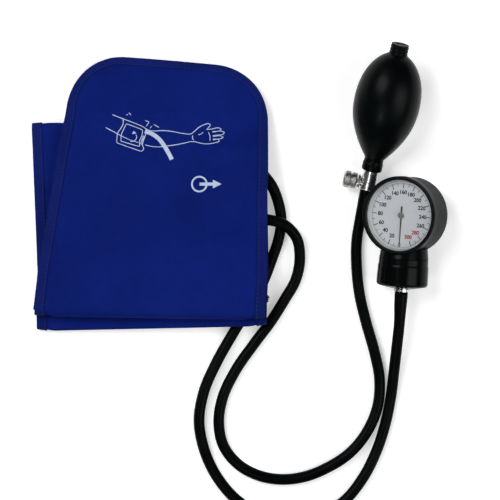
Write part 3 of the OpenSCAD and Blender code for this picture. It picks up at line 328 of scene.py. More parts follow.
# Cuff plies
# The cuff is two plies of navy nylon, 148 mm wide, sewn together at the edges and folded three times:
# a flap that holds the ring, a lower run, an upper run and the long top flap with its rounded corners.
half_w = 74
ply_t = 0.5
seam_gap = 0.1
tape_t = 0.5
tape_gap = 0.15
tape_rise = tape_t + tape_gap
tape_in = seam_gap + ply_t + tape_gap
tape_out = tape_in + tape_t
bladder_half_t = 1.2
fold_a_r, fold_b_r, fold_c_r = 1.8, 2.45, 2.65
z_ring_flap, z_lower, z_upper, z_flap = 1.5, 5.1, 10.0, 15.3
fold_a = (1.1, -63.35, math.radians(1.25))
fold_b = (-0.8, 61.8, 0.0)
fold_c = (-0.1, -54.5, math.radians(-0.9))
ring_y = -48.3
flap_l = 158.5
corner_r = 35
flap_straight = flap_l - corner_r
flap_lean = math.radians(4.8)
flap_taper = 10.3
flap_crown = 0.2
shoulder_in, edge_bulge = 0.8, 0.6
waist, waist_start, waist_y = 3.1, 0.5, -29
draw_left, draw_right = 1.2, 1.7
corner_near, corner_far = 1.7, 0.8
lift_h, slope_x, slope_w = 7.6, -75, 130
sag = 4.5
droop_rate, droop_y, droop_bend = 0.19, 56, 18
bladder_edge, tape_edge = 0.81, 0.9
bladder_y, bladder_ramp = -6, 7.02
rise_fade, full_fade = 10, 8
flap_along = np.array([math.sin(flap_lean), math.cos(flap_lean)])
flap_across = np.array([math.cos(flap_lean), -math.sin(flap_lean)])
START_X, START_Y, START_SKEW, END_X, END_Y, END_SKEW = range(6)
SHARE, OUT_Y, LEVEL, FACE_Y, FACE_Z, LAYER, RISE, FULL = range(6, 14)


def line_across(start, end, share, z, up, layer, rise=1.0, full=0.0, out_y=0.0, face_y=0.0):
    """One line across the cuff, a share of the way from one fold line to another.

    z is its level, up and face_y the side that its outer ply faces, and layer counts the cuff's runs up
    from the table. rise is how much the tape lifts its ends, and full how far the bladder opens it."""
    return (*start, *end, share, out_y, z, face_y, up, layer, rise, full)


def run_lines(start, end, ys, z, up, layer, full=lambda y: 0.0):
    """Lines of a flat run between two folds."""
    length = end[1] - start[1]
    return [line_across(start, end, (y - start[1]) / length, z, up, layer, full=full(y)) for y in ys]


def fold_lines(fold, side, z, r, layer, rise=lambda a: 1.0, full=0.0):
    """Lines round a fold; side is -1 at the cuff's near end and 1 at its far end."""
    turns = np.radians(np.arange(-78, 79, 12))
    return [line_across(fold, fold, 0, z + r * math.sin(a), -side * math.sin(a), layer, rise(a), full,
                        side * r * math.cos(a), -math.cos(a)) for a in turns]


def bladder_share(y):
    return float(np.clip((bladder_y - y) / bladder_ramp, 0, 1))


def flap_line(b):
    """The line across the top flap at b millimetres from its fold."""
    return line_across(fold_c, fold_c, b / flap_l, z_flap, 1, 3, ease((flap_straight - b) / rise_fade),
                       np.clip((flap_straight + full_fade - b) / full_fade, 0, 1))


ring_end = (fold_a[0], ring_y - 4.4, fold_a[2])
lines = [line_across(ring_end, fold_a, q, z_ring_flap, -1, 0, rise=0) for q in np.linspace(0, 1, 7)]
lines += fold_lines(fold_a, -1, z_ring_flap + fold_a_r, fold_a_r, 1, lambda a: ease((a + 1.0472) / 2.0944))
lines += run_lines(fold_a, fold_b, np.linspace(fold_a[1], fold_b[1], 62), z_lower, 1, 1)
lines += fold_lines(fold_b, 1, z_lower + fold_b_r, fold_b_r, 1)
upper_ys = [*np.linspace(fold_b[1], bladder_y, 34), *np.linspace(-7, -14, 6),
            *np.linspace(-16, fold_c[1], 20)]
lines += run_lines(fold_b, fold_c, upper_ys, z_upper, -1, 2, bladder_share)
lines += fold_lines(fold_c, -1, z_upper + fold_c_r, fold_c_r, 2, full=1.0)
lines += map(flap_line, np.arange(0, flap_straight - 1, 1.8))
lines += map(flap_line, flap_straight + corner_r * np.sin(np.radians(np.linspace(0, 90, 31))))
lines = np.array(lines, float)


def flap_half(b):
    """Half of the top flap's width, which tapers, and ends in two round corners."""
    w = half_w * math.cos(flap_lean + fold_c[2]) - flap_taper * np.minimum(b, flap_straight) / flap_straight
    return w - corner_r + np.sqrt(np.maximum(0, corner_r**2 - np.maximum(0, b - flap_straight)**2))


def flap_skew(t):
    """How much nearer or further the slanted fold lets the flap start, at t."""
    return t * half_w * math.sin(flap_lean + fold_c[2])


def flap_place(t, q):
    """A point of the top flap in plan: t runs from its left to its right edge, q from fold to end."""
    start = flap_skew(t)
    b = start + (flap_l + flap_crown * (1 - t**2) - start) * q
    far = q * flap_l
    narrow = shoulder_in * ease(-t) * between(far, 98, 124, 133, 157)
    bulge = edge_bulge * ease(t) * between(far, 76, 92, 120, 136)
    side = t * (flap_half(far) - narrow + bulge)
    return [fold_c[k] + b * flap_along[k] + side * flap_across[k] for k in (0, 1)]


def in_plan(row, t):
    """Where the lines cross the cuff at t, seen from above. row is one line or many, as columns.

    The left edge has a waist, and the tape draws the cloth in a little at the folds and their corners."""
    def on(first):
        return (row[..., first] + t * half_w * np.cos(row[..., first + 2]),
                row[..., first + 1] + t * half_w * np.sin(row[..., first + 2]))
    (x0, y0), (x1, y1) = on(START_X), on(END_X)
    q = row[..., SHARE]
    fx, fy = flap_place(t, q)
    top = row[..., LAYER] == 3
    x, y = x0 + (x1 - x0) * q, y0 + (y1 - y0) * q + row[..., OUT_Y]
    bow = waist_start + waist * np.interp(y, (-57, waist_y, 62), (0, 1, 0))
    x, y = np.where(top, fx, x + bow * ease((-t - 0.4) / 0.5)), np.where(top, fy, y)
    drawn = draw_left * ease((-t - 0.4) / 0.6) - draw_right * ease((t - 0.4) / 0.6)
    pulled = corner_near * ease((-55 - y) / 7) - corner_far * ease((y - 52) / 8) * (row[..., LAYER] < 3)
    return x + drawn * ease((-24 - y) / 34), y + pulled * ease((np.abs(t) - 0.84) / 0.16)


def lift(layer, x, y):
    """How far the cloth stands above its flat level: up over hoses and ports, down at the free end."""
    high = lift_h * np.maximum(0, x - slope_x) / slope_w * ease((bladder_y - y) / 22)
    high = high - np.where(layer > 0, sag * ease((y + 46) / 22), 0)
    bump = lift_h * ease((x - 8) / 28) * between(y, -24, -3, 44, 62)
    bend, over = droop_bend, y - droop_y
    droop = np.where(over < 0, 0, np.where(over < bend, over**2 / (2 * bend), over - bend / 2))
    return high + np.where(layer == 3, bump - droop_rate * droop + wrinkle(x, y), 0)


def wrinkle(x, y):
    """The top flap's soft unevenness: broad waves, which fade towards its fold and its free end."""
    wide = 0.22 * np.sin(0.085 * x + 0.06 * y + 0.6) * np.sin(0.05 * y - 0.04 * x + 1.1)
    narrow = 0.1 * np.sin(0.19 * y + 0.05 * x) * np.cos(0.1 * x - 0.4)
    return (wide + narrow) * between(y, -54, -40, 84, 98)


def rise_at_edge(row, t):
    """Layers with tape between them lie further apart at the cuff's edges."""
    return row[..., RISE] * tape_rise * ease((np.abs(t) - bladder_edge) / (tape_edge - bladder_edge))


def on_cloth(row, t, off):
    """A point of the cuff, off millimetres out from the middle of its two plies."""
    x, y = in_plan(row, t)
    z = row[..., LEVEL] + lift(row[..., LAYER], x, y) + rise_at_edge(row, t) + off * row[..., FACE_Z]
    return np.stack([x, y + off * row[..., FACE_Y], z + 0 * x], -1)


def half_gap(row, t):
    """Half of the space between the plies, where the bladder lies."""
    open_share = ease((tape_edge - np.abs(t)) / (tape_edge - bladder_edge))
    return seam_gap + bladder_half_t * row[..., FULL] * open_share


def shut_tube(rows, columns):
    """Faces of a flat tube, whose rows run out on one side and back on the other, with its ends shut."""
    faces = quads(rows, columns)
    last = (rows - 1) * columns
    for j in range(columns // 2 - 1):
        a, b, c, d = j, j + 1, columns - 2 - j, columns - 1 - j
        faces += [(d, c, b, a), (last + a, last + b, last + c, last + d)]
    return faces


def cloth_shell(name, rows, ts, high, low, material):
    """A layer of the cuff between two distances from its middle, as a closed shell."""
    ts = np.asarray(ts)
    row = rows[:, None, :]
    top = on_cloth(row, ts, high(row, ts))
    under = on_cloth(row, ts, low(row, ts))[:, ::-1]
    ring = np.concatenate([top, under], 1)
    uv = laid_out(np.concatenate([ts, ts[::-1]]) * half_w, walked(on_cloth(rows, 0, 0)))
    return new_piece(name, ring, shut_tube(*ring.shape[:2]), material, uv)


def woven(name, colour, pitch, rough, sheen):
    """Plain woven nylon: warp and weft threads a pitch apart, with slight slubs, creases and a soft sheen."""
    cloth = Finish(name, colour, rough, shine=0.02, Sheen_Weight=sheen,
                   Sheen_Roughness=0.35)
    cloth.skin.inputs["Sheen Tint"].default_value = (0.35, 0.45, 1, 1)
    laid = cloth.place("UV", (1 / pitch, 1 / pitch, 1))
    checks = cloth.add("ShaderNodeTexChecker", {"Vector": laid, "Scale": 1.0, "Color1": (1, 1, 1, 1),
                                                "Color2": (0, 0, 0, 1)})
    sides = cloth.add("ShaderNodeSeparateXYZ", {0: laid}).outputs
    waves = [cloth.maths("SINE", cloth.maths("MULTIPLY", side, math.pi)) for side in sides[:2]]
    warp, weft = (cloth.maths("ABSOLUTE", wave) for wave in waves)
    thread = cloth.add("ShaderNodeMix", {0: checks.outputs["Fac"], 2: warp, 3: weft}).outputs[0]
    mottle, cloud, wide_cloud = cloth.noise(230, 3), cloth.noise(45, 4), cloth.noise(11, 2)
    shade = cloth.total((thread, 0.3), (mottle, 0.35), (cloud, 0.32), (wide_cloud, 0.48))
    cloth.paint(cloth.span(shade, 0.4, 1.1), [c * 0.66 for c in colour], [c * 1.4 for c in colour])
    slub = cloth.noise(1.0, 2, cloth.place("UV", (0.25, 3.0, 1)))
    cloth.roughen(slub, rough - 0.06, rough + 0.08)
    creases = cloth.bump(cloth.noise(70, 3), 0.5, 0.35)
    cloth.bump(thread, 0.06, 0.5, creases)
    return cloth.material


cuff_nylon = woven("cuff_nylon", (0.0038, 0.013, 0.152), 0.5, 0.6, 0.01)
edge_ts = np.array([bladder_edge, 0.83, 0.85, 0.87, 0.89, tape_edge, 0.92, 0.95, 0.98, 1.0])
cuff_ts = np.concatenate([-edge_ts[::-1], np.linspace(-0.78, 0.78, 79), edge_ts])
outer_ply = cloth_shell("nylon_outer_ply", lines, cuff_ts, lambda r, t: half_gap(r, t) + ply_t, half_gap,
                        cuff_nylon)
inner_ply = cloth_shell("nylon_inner_ply", lines, cuff_ts, lambda r, t: -half_gap(r, t),
                        lambda r, t: -half_gap(r, t) - ply_t, cuff_nylon)
for ply, solid in ((outer_ply, "cuff_outer_ply"), (inner_ply, "cuff_inner_ply")):
    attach(ply, "base")
    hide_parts(solid)

# Bladder
# A flat bag of black rubber sheet between the plies, from the upper run round the near fold into the flap.
# It is welded round its rim, and the two ports are moulded into it.
bladder_rubber = black_rubber("bladder_rubber", (0.006, 0.006, 0.0065), 0.5, 900)
rim_w = 1.6
bladder_ts = np.array([0.7885, 0.79, 0.794, 0.8, 0.806, 0.81])
bladder_ts = np.concatenate([-bladder_ts[::-1], np.linspace(-0.77, 0.77, 41), bladder_ts])


def round_rim(inside):
    """How thick the bag is at a distance from its rim, as a share."""
    return np.sqrt(np.clip(1 - np.clip(1 - inside / rim_w, 0, 1)**2, 0.08, 1))


def bladder_wall(row, t):
    return bladder_half_t * row[..., FULL] * round_rim((bladder_edge - np.abs(t)) * half_w)


bladder_lines = lines[lines[:, FULL] > 0.999].copy()
bladder_walk = walked(on_cloth(bladder_lines, 0, 0))
bladder_lines[:, FULL] = round_rim(np.minimum(bladder_walk, bladder_walk[-1] - bladder_walk))
bag = cloth_shell("bladder_bag", bladder_lines, bladder_ts, bladder_wall, lambda r, t: -bladder_wall(r, t),
                  bladder_rubber)
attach(bag, "base")
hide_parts("bladder")

# Hook and loop patches
# A stiff hook patch is sewn on the lower run and a soft loop patch on the upper run, and they lie face
# to face between them. Both are woven nylon tape, and hold the cuff shut when it is wrapped round an arm.
patch_y0, patch_y1 = 20, 54
hook_t, loop_t = 1.3, 2.0
patch_edge, tuft_fade = 0.78, 1.6
patch_ts = np.array([-patch_edge, -0.775, -0.765, *np.linspace(-0.75, 0.75, 61), 0.765, 0.775, patch_edge])
patch_ys = np.array([patch_y0, patch_y0 + 0.4, patch_y0 + 1.2,
                     *np.linspace(patch_y0 + 2.5, patch_y1 - 2.5, 22),
                     patch_y1 - 1.2, patch_y1 - 0.4, patch_y1])


def patch(name, rows, thick, pile, material):
    """A patch whose pile of a given height thins to its woven backing at the rim."""
    rows = np.array(rows, float)
    y = in_plan(rows, 0.0)[1]
    rows[:, FULL] = ease(np.minimum(y - patch_y0, patch_y1 - y) / tuft_fade)

    def top(row, t):
        tuft = 0.5 + 0.5 * np.sin(t * 173 + row[..., SHARE] * 61) * np.sin(row[..., SHARE] * 349 + t * 31)
        full = row[..., FULL] * ease((patch_edge - np.abs(t)) * half_w / tuft_fade)
        return tape_in + (thick - pile) + pile * full * (0.86 + 0.14 * tuft)
    return cloth_shell(name, rows, patch_ts, top, lambda r, t: tape_in + 0 * r[..., FULL] * t, material)


def pile_cloth(name, colour, scale, height):
    """Hook or loop tape: a field of small stiff tufts, slightly uneven in colour and gloss."""
    pile = Finish(name, colour, 0.8, shine=0.15, Sheen_Weight=0.05)
    cells = pile.add("ShaderNodeTexVoronoi", {"Vector": pile.place("UV"), "Scale": scale}).outputs["Distance"]
    pile.paint(pile.span(cells, 0.0, 0.8), [c * 1.5 for c in colour], [c * 0.4 for c in colour])
    pile.roughen(pile.noise(300), 0.7, 0.95)
    pile.bump(cells, height, -0.8)
    return pile.material


hooks = patch("hook_tape", run_lines(fold_a, fold_b, patch_ys, z_lower, 1, 1), hook_t, 0.8,
              pile_cloth("hook_pile", (0.004, 0.004, 0.006), 0.9, 0.5))
loops = patch("loop_tape", run_lines(fold_b, fold_c, patch_ys[::-1], z_upper, -1, 2), loop_t, 1.2,
              pile_cloth("loop_pile", (0.006, 0.014, 0.1), 1.6, 0.6))
for fastener, kind in ((hooks, "hook"), (loops, "loop")):
    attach(fastener, "base")
    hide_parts(kind + "_patch")

# Edge tape
# One strip of ribbed navy tape, folded over the plies' raw edges, up the right edge, round the flap's
# rounded end and down the left edge. Two rows of stitches, one on each face, hold it.
tape_w = 6.0
groove_at = 4.7
tape_turned = 0.5
wrap_w, wrap_end = 0.6, 2.4


def wrap(r, count):
    """Half of a squarish ring round the cloth's edge, from its lower to its upper face."""
    made = []
    for a in np.radians(np.linspace(-90, 90, count)):
        bulge = r * math.cos(a)**0.5 if abs(a) < 1.57 else 0
        made.append((wrap_w - bulge, r * math.copysign(abs(math.sin(a))**0.5, a)))
    return made


face = [(tape_w, 0.9), (tape_w, 1.1), (5.85, tape_out), (5.2, tape_out), (groove_at + 0.2, 1.22),
        (groove_at, 1.15), (groove_at - 0.2, 1.22), (4.2, tape_out), (wrap_end, tape_out)]
tape_outline = ([(w, -d) for w, d in face] + wrap(tape_out, 9) + face[::-1]
                + [(5.85, tape_in), (wrap_end, tape_in)] + wrap(tape_in, 7)[::-1]
                + [(wrap_end, -tape_in), (5.85, -tape_in)])
crest = len(face) + 4
stitch_ws = [k for k, (w, d) in enumerate(tape_outline) if w == groove_at]


def turned_in(row, side):
    """The direction in plan from the edge into the cloth, which swings round at the flap's corners."""
    (ex, ey), (ix, iy) = in_plan(row, side), in_plan(row, side * tape_edge)
    inward = unit((float(ix - ex), float(iy - ey)))
    b = row[SHARE] * flap_l - flap_straight
    turn = math.asin(np.clip(b / corner_r, 0, 1)) if row[LAYER] == 3 else 0.0
    return math.cos(turn) * inward - math.sin(turn) * flap_along


def tape_loop(row, t, inward):
    """The tape's outline at one place on the edge. Round the flap's end less of it lies on the outer face."""
    w, d = np.array(tape_outline).T
    end = ease((row[SHARE] * flap_l - 108) / 34) * (row[LAYER] == 3) * (d * row[FACE_Z] > 0)
    w = w - np.maximum(w - wrap_end, 0) * tape_turned * end
    x, y = in_plan(row, t)
    x, y = x + w * inward[0], y + w * inward[1]
    z = row[LEVEL] + lift(row[LAYER], x, y) + row[RISE] * tape_rise + d * row[FACE_Z]
    return np.stack([x, y + d * row[FACE_Y], z], -1)


around = [tape_loop(row, 1.0, turned_in(row, 1)) for row in lines]
around += [tape_loop(lines[-1], t, -flap_along) for t in np.linspace(1, -1, 27)[1:-1]]
around += [tape_loop(row, -1.0, turned_in(row, -1)) for row in lines[::-1]]
around = np.array(around)
tape_walk = walked(around[:, crest])
count, sides = around.shape[:2]
tape_faces = quads(count, sides)
tape_faces += [tuple(range(sides))[::-1], tuple(range((count - 1) * sides, count * sides))]
tape_nylon = Finish("tape_nylon", (0.0045, 0.0135, 0.13), 0.6, shine=0.02,
                    Sheen_Weight=0.01)
rib_values = {"Vector": tape_nylon.place("UV"), "Scale": 0.42, "Distortion": 0.4, "Detail": 1.0}
ribs = tape_nylon.add("ShaderNodeTexWave", rib_values, bands_direction="Y").outputs["Fac"]
tape_shade = tape_nylon.span(tape_nylon.total((ribs, 0.5), (tape_nylon.noise(60), 1)), 0.3, 1.2)
tape_nylon.paint(tape_shade, (0.0035, 0.0095, 0.09), (0.0075, 0.0175, 0.16))
tape_nylon.roughen(tape_nylon.noise(200), 0.5, 0.7)
tape_nylon.bump(ribs, 0.12, 0.6)
tape = new_piece("nylon_edge_tape", around, tape_faces, tape_nylon.material,
                 laid_out(walked(np.array(tape_outline)), tape_walk))
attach(tape, "base")
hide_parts("edge_tape")


def repeated(name, places, along, out, shape, size, material):
    """One shape at each place: its length points along, and its height points out."""
    points = bpy.data.meshes.new(name + "_places")
    points.from_pydata((np.asarray(places) * MM).tolist(), [], [])
    for key, value in (("along", along), ("out", out)):
        stored = points.attributes.new(key, "FLOAT_VECTOR", "POINT")
        stored.data.foreach_set("vector", np.asarray(value, float).ravel())
    holder = bpy.data.objects.new(name, points)
    scene.collection.objects.link(holder)
    tree = bpy.data.node_groups.new(name, "GeometryNodeTree")
    tree.interface.new_socket("Places", in_out="INPUT", socket_type="NodeSocketGeometry")
    measures = [tree.interface.new_socket(key, in_out="INPUT", socket_type="NodeSocketFloat").identifier
                for key in ("Length", "Width", "Height")]
    tree.interface.new_socket("Made", in_out="OUTPUT", socket_type="NodeSocketGeometry")
    add, link = tree.nodes.new, tree.links.new
    given, made = add("NodeGroupInput"), add("NodeGroupOutput")
    one = add("GeometryNodeMeshUVSphere" if shape == "thread" else "GeometryNodeMeshCube")
    if shape == "thread":
        for key, value in (("Segments", 8), ("Rings", 5), ("Radius", 0.5)):
            one.inputs[key].default_value = value
    stretch, scaled = add("ShaderNodeCombineXYZ"), add("GeometryNodeTransform")
    for key, axis in (("Length", "X"), ("Width", "Y"), ("Height", "Z")):
        link(given.outputs[key], stretch.inputs[axis])
    link(one.outputs["Mesh"], scaled.inputs["Geometry"])
    link(stretch.outputs[0], scaled.inputs["Scale"])
    turn, spread = add("FunctionNodeAxesToRotation"), add("GeometryNodeInstanceOnPoints")
    turn.primary_axis, turn.secondary_axis = "X", "Z"
    for key, socket in (("along", 0), ("out", 1)):
        stored = add("GeometryNodeInputNamedAttribute")
        stored.data_type = "FLOAT_VECTOR"
        stored.inputs["Name"].default_value = key
        link(stored.outputs["Attribute"], turn.inputs[socket])
    link(given.outputs["Places"], spread.inputs["Points"])
    link(scaled.outputs["Geometry"], spread.inputs["Instance"])
    link(turn.outputs[0], spread.inputs["Rotation"])
    real, painted = add("GeometryNodeRealizeInstances"), add("GeometryNodeSetMaterial")
    painted.inputs["Material"].default_value = material
    link(spread.outputs[0], real.inputs[0])
    link(real.outputs[0], painted.inputs["Geometry"])
    link(painted.outputs[0], made.inputs[0])
    layer = holder.modifiers.new("repeat", "NODES")
    layer.node_group = tree
    for measure, value in zip(measures, size):
        layer[measure] = value * MM
    baked = bpy.data.meshes.new_from_object(holder.evaluated_get(bpy.context.evaluated_depsgraph_get()))
    holder.modifiers.remove(layer)
    holder.data = baked
    baked.name = name
    if shape == "thread":
        baked.polygons.foreach_set("use_smooth", [True] * len(baked.polygons))
    return holder


def along_line(line, out, pitch):
    """Places a pitch apart along a line, with the line's direction and the outward direction at each."""
    walk = walked(line)
    at = np.arange(pitch, walk[-1] - pitch, pitch)
    place, outward = (np.stack([np.interp(at, walk, v[:, k]) for k in range(3)], -1) for v in (line, out))
    ahead = np.stack([np.interp(at + 0.5, walk, line[:, k]) for k in range(3)], -1)
    return place, unit(ahead - place), unit(outward)


thread_nylon = Finish("thread_nylon", (0.007, 0.015, 0.125), 0.45, shine=0.25)
twist = thread_nylon.noise(900, 2)
thread_nylon.paint(twist, (0.005, 0.011, 0.095), (0.011, 0.021, 0.155))
thread_nylon.bump(twist, 0.05, 0.6)
stitch_size, stitch_pitch, stitch_lift = (1.9, 0.42, 0.3), 2.6, 0.02
stitch_parts = []
for k in stitch_ws:
    seam = around[:, k]
    outward = np.cross(np.gradient(seam, axis=0), seam - around[:, crest])
    outward *= np.sign((outward * (seam - around.mean(1))).sum(-1, keepdims=True))
    stitch_parts.append(along_line(seam + unit(outward) * stitch_lift, outward, stitch_pitch))
stitches = repeated("tape_stitches", *map(np.concatenate, zip(*stitch_parts)), "thread", stitch_size,
                    thread_nylon.material)
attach(stitches, "base")

# Printed marks
# White screen printing on the flap: a plain picture of an arm that wears a cuff, and the mark that goes
# over the artery. Only a generic picture is drawn, and no words.
ink = Finish("white_ink", (0.5, 0.6, 0.78), 0.55, shine=0.2)
patchy = ink.maths("ADD", ink.noise(500, 4), ink.noise(90, 3))
ink.paint(ink.span(patchy, 0.7, 1.25), (0.42, 0.51, 0.72), (0.56, 0.66, 0.82))
ink.bump(ink.noise(1800, 2), 0.03, 0.5)
ink_high, ink_deep = 0.07, 0.12


def on_flap(xy, off):
    """Points on the top flap's upper face, off millimetres above it, from their places in plan."""
    rel = np.asarray(xy, float) - np.array(fold_c[:2])
    along, side = rel @ flap_along, rel @ flap_across
    q, t = along / flap_l, side / half_w
    for _ in range(8):
        t = side / flap_half(q * flap_l)
        q = (along - flap_skew(t)) / (flap_l + flap_crown * (1 - t**2) - flap_skew(t))
    rows = np.array([flap_line(b) for b in q * flap_l], float)
    return on_cloth(rows, t, half_gap(rows, t) + ply_t + off)


def inked(bands):
    """Thin closed slabs of ink, each between two lines of points in plan."""
    points, faces = [], []
    for left, right in bands:
        n, first = len(left), sum(map(len, points))
        for side, off in ((left, ink_high), (right, ink_high), (right, -ink_deep), (left, -ink_deep)):
            points.append(on_flap(side, off))
        for i in range(first, first + n - 1):
            for a, b in ((0, n), (n, 2 * n), (2 * n, 3 * n), (3 * n, 0)):
                faces.append((i + a, i + b, i + b + 1, i + a + 1))
        faces += [tuple(first + k * n for k in (3, 2, 1, 0)), tuple(first + k * n + n - 1 for k in range(4))]
    return np.concatenate(points), faces


def stroke(line, width, round_ends=True):
    """The two sides of a pen stroke along a smooth line."""
    line = smooth_line([(x, y, 0) for x, y in line], 0.45)[:, :2]
    ahead = unit(np.gradient(line, axis=0))
    beside = np.stack([-ahead[:, 1], ahead[:, 0]], -1)
    half = np.full(len(line), width / 2)
    if round_ends:
        half[[0, -1]] *= 0.5
    return line + beside * half[:, None], line - beside * half[:, None]


arm_strokes = [
    [(-24.1, 69.8), (-17, 67.1), (-10.1, 64.5), (-4.4, 62.1), (-0.5, 59.8), (2.9, 59.4), (7.4, 59.6),
     (12.5, 59.3), (16.4, 58.7), (20.9, 57.8), (26.4, 57.7), (28.4, 59.3), (31.1, 61.7), (34.4, 63.4),
     (37.1, 64), (38.2, 63.3), (37.3, 61.8), (35.8, 60.3)],
    [(35.8, 60.3), (38.9, 60.6), (43.9, 61.2), (45, 60.6), (44.4, 59.9), (39.4, 59)],
    [(39.6, 58.6), (45.6, 59.1), (46.9, 58.5), (46.5, 57.6), (43, 56.8), (39.6, 56.4)],
    [(39.8, 55.9), (45.4, 55.9), (46.2, 55.2), (45, 54.6), (39.8, 54.2)],
    [(39.8, 53.7), (43.4, 53.7), (43.8, 53), (41.2, 51.9), (36.7, 51.1), (32.8, 51.4), (28.8, 52.4),
     (26.4, 52.6), (22, 51.7), (16.4, 50.6), (11.9, 50), (5.2, 49.3), (1.2, 49.6), (-3, 50.6)],
    [(-28, 61.5), (-24.1, 59.5), (-20.6, 57.7), (-17.9, 56.2), (-12.9, 53.9), (-7.2, 52)],
    [(27.3, 56.5), (27, 54.9), (27.9, 53.4)],
    [(36.9, 58.7), (37.9, 56.6), (38, 53.1)],
    [(30.6, 56.9), (32.5, 57.5), (33.8, 58.7)],
    [(-17, 67), (-16.9, 64.3), (-18.2, 61.3), (-20.4, 58), (-20.8, 55), (-20.9, 51.9)],
    [(-20.9, 51.9), (-13.4, 49.2), (-5.9, 46.6)],
    [(-5.9, 46.6), (-4.6, 46.9), (-3.9, 48), (-4.6, 50.4), (-3.7, 54), (-2.7, 57), (-2.5, 59.6)],
    [(-6, 51.2), (-4.6, 54)],
    [(-5.3, 50.7), (-4, 53.4)],
    [(-5.2, 53.7), (-3.9, 56.6)],
    [(-4.5, 53.2), (-3.4, 56.2)],
    [(-14.9, 63.9), (-16.5, 60.6), (-18, 57), (-18.3, 53)],
    [(-18.3, 53), (-11.7, 51), (-6.4, 49.5)],
    [(-6.4, 49.5), (-6.5, 52.8), (-4.9, 56.8), (-4.5, 60)],
    [(-4.5, 60), (-10.1, 62.3), (-14.9, 63.9)],
    [(-12.4, 52.7), (-10.1, 53), (-8.6, 54.4), (-8.3, 56), (-8.9, 57.2)],
    [(-3, 65.9), (-0.6, 65), (-1.5, 63.4), (-2.2, 62.3)],
    [(1.3, 62.6), (0.2, 61)],
    [(2.5, 63.5), (5.9, 61.6)],
    [(-13.4, 71), (-11.9, 69.5)],
    [(-15, 69.5), (-13.9, 69.8)],
]
pen_w, strip_w = 0.46, 2.6
bands = [stroke(line, pen_w) for line in arm_strokes]
strip = [(-3, 59.2), (0.7, 57.9), (5.2, 54.9), (9.1, 50.1), (12.3, 44.6), (14, 41.4)]
bands.append(stroke(strip, strip_w, round_ends=False))
arrow = [(-11.2, 57.4), (-10.35, 59.4)], [(-8.4, 57.9), (-10.15, 59.45)]
bands.append(arrow)
mark = np.array([31.4, 25.7])
mark_r, mark_line = 4.65, 1.1
ring_turn = np.radians(np.arange(0, 361, 6))
ring_line = np.stack([np.cos(ring_turn), np.sin(ring_turn)], -1)
bands.append([mark + (mark_r + side * mark_line / 2) * ring_line for side in (1, -1)])
shaft_x = np.linspace(0.1, 8.8, 12)
head_x = np.linspace(8.5, 14, 8)
for x, half in ((shaft_x, 1 + 0 * shaft_x), (head_x, 2.7 * (14.05 - head_x) / 5.55)):
    bands.append([mark + np.stack([x, side * half], -1) for side in (1, -1)])
marks = new_piece("ink_marks", *inked(bands), ink.material, smooth=False)
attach(marks, "base")

# Ring loop
# The cuff's end is folded into a narrow loop of its own navy nylon and sewn down on itself. The wire ring
# runs in it, so the loop is round there, and flat at its sewn legs.


def stand(at, *turns):
    """A piece's own frame: its place in millimetres, and its turns in degrees about named axes, in order."""
    made = Matrix.Translation(at)
    for axis, degrees in turns:
        made = made @ Matrix.Rotation(math.radians(degrees), 4, axis)
    return made


ring_slope = lift_h / slope_w
ring_frame = stand((fold_a[0], ring_y, z_ring_flap + ring_slope * (fold_a[0] - slope_x)),
                   ("Z", math.degrees(fold_a[2])), ("Y", -math.degrees(math.atan(ring_slope))))
loop_half = 66.5
wire_y = -1.9
leg_y = wire_y - 6.5
wire_angles = np.radians(np.linspace(72, -72, 13))
loop_out, loop_in, leg_out, leg_in = 1.45, 0.95, 1.25, 0.75


def placed(place, points):
    """Points of a piece's own frame, put where the piece is."""
    points = np.asarray(points, float)
    turn = np.array(place)
    return points @ turn[:3, :3].T + turn[:3, 3]


def loop_side(r, half):
    """One side of the loop's section, from its upper leg round the wire to its lower leg."""
    legs = np.linspace(leg_y, wire_y - 0.6, 9)[:-1]
    upper = [(y, half + (r - half) * ease((y - leg_y) / 6)) for y in legs]
    turn = [(wire_y + r * math.cos(a), r * math.sin(a)) for a in wire_angles]
    return upper + turn + [(y, -z) for y, z in upper[::-1]]


loop_section = loop_side(loop_out, leg_out) + loop_side(loop_in, leg_in)[::-1]
loop_x = np.concatenate([[-loop_half, -loop_half + 0.25], np.linspace(-loop_half + 1.5, loop_half - 1.5, 55),
                         [loop_half - 0.25, loop_half]])
loop_rings = []
for x in loop_x:
    pinch = 0.03 * math.sin(x * 0.9) if abs(x) < loop_half - 1 else 0.0
    loop_rings.append([(x, y, z * (1 - pinch * (y > wire_y - 0.5))) for y, z in loop_section])
loop_rings = np.array(loop_rings)
sewn_loop = new_piece("nylon_ring_loop", placed(ring_frame, loop_rings.reshape(-1, 3)),
                      shut_tube(*loop_rings.shape[:2]), cuff_nylon,
                      laid_out(walked(np.array(loop_section)), loop_x))
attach(sewn_loop, "base")
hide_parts("ring_loop")

# Closure ring
# A long flat ring of nickelled steel wire, bent to shape and closed. It lies in the cloth loop, and the
# cuff's other end is pulled through it when the cuff goes round an arm.


def metal(name, colour, rough, grain=400, uneven=0.06, flecks=0.02):
    """Bare or plated metal, with a fine uneven gloss and faint marks from making and handling."""
    made = Finish(name, colour, rough, Metallic=1.0)
    made.paint(made.span(made.noise(grain, 4), 0.3, 0.7), [c * 0.86 for c in colour], colour)
    made.roughen(made.noise(90, 3), rough - uneven / 2, rough + uneven)
    made.bump(made.noise(grain * 4, 2), flecks, 0.4)
    return made.material


def dress(material, *nodes):
    """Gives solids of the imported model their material."""
    for node in nodes:
        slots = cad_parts[node].data.materials
        if not slots:
            slots.append(material)
        for k in range(len(slots)):
            slots[k] = material


dress(metal("ring_nickel", (0.46, 0.45, 0.42), 0.24), "closure_ring")

# Bladder ports
# Two moulded black elbows. Each goes up through a hole in the lower ply into the bladder, and its
# barbed nozzle points right, into a hose.


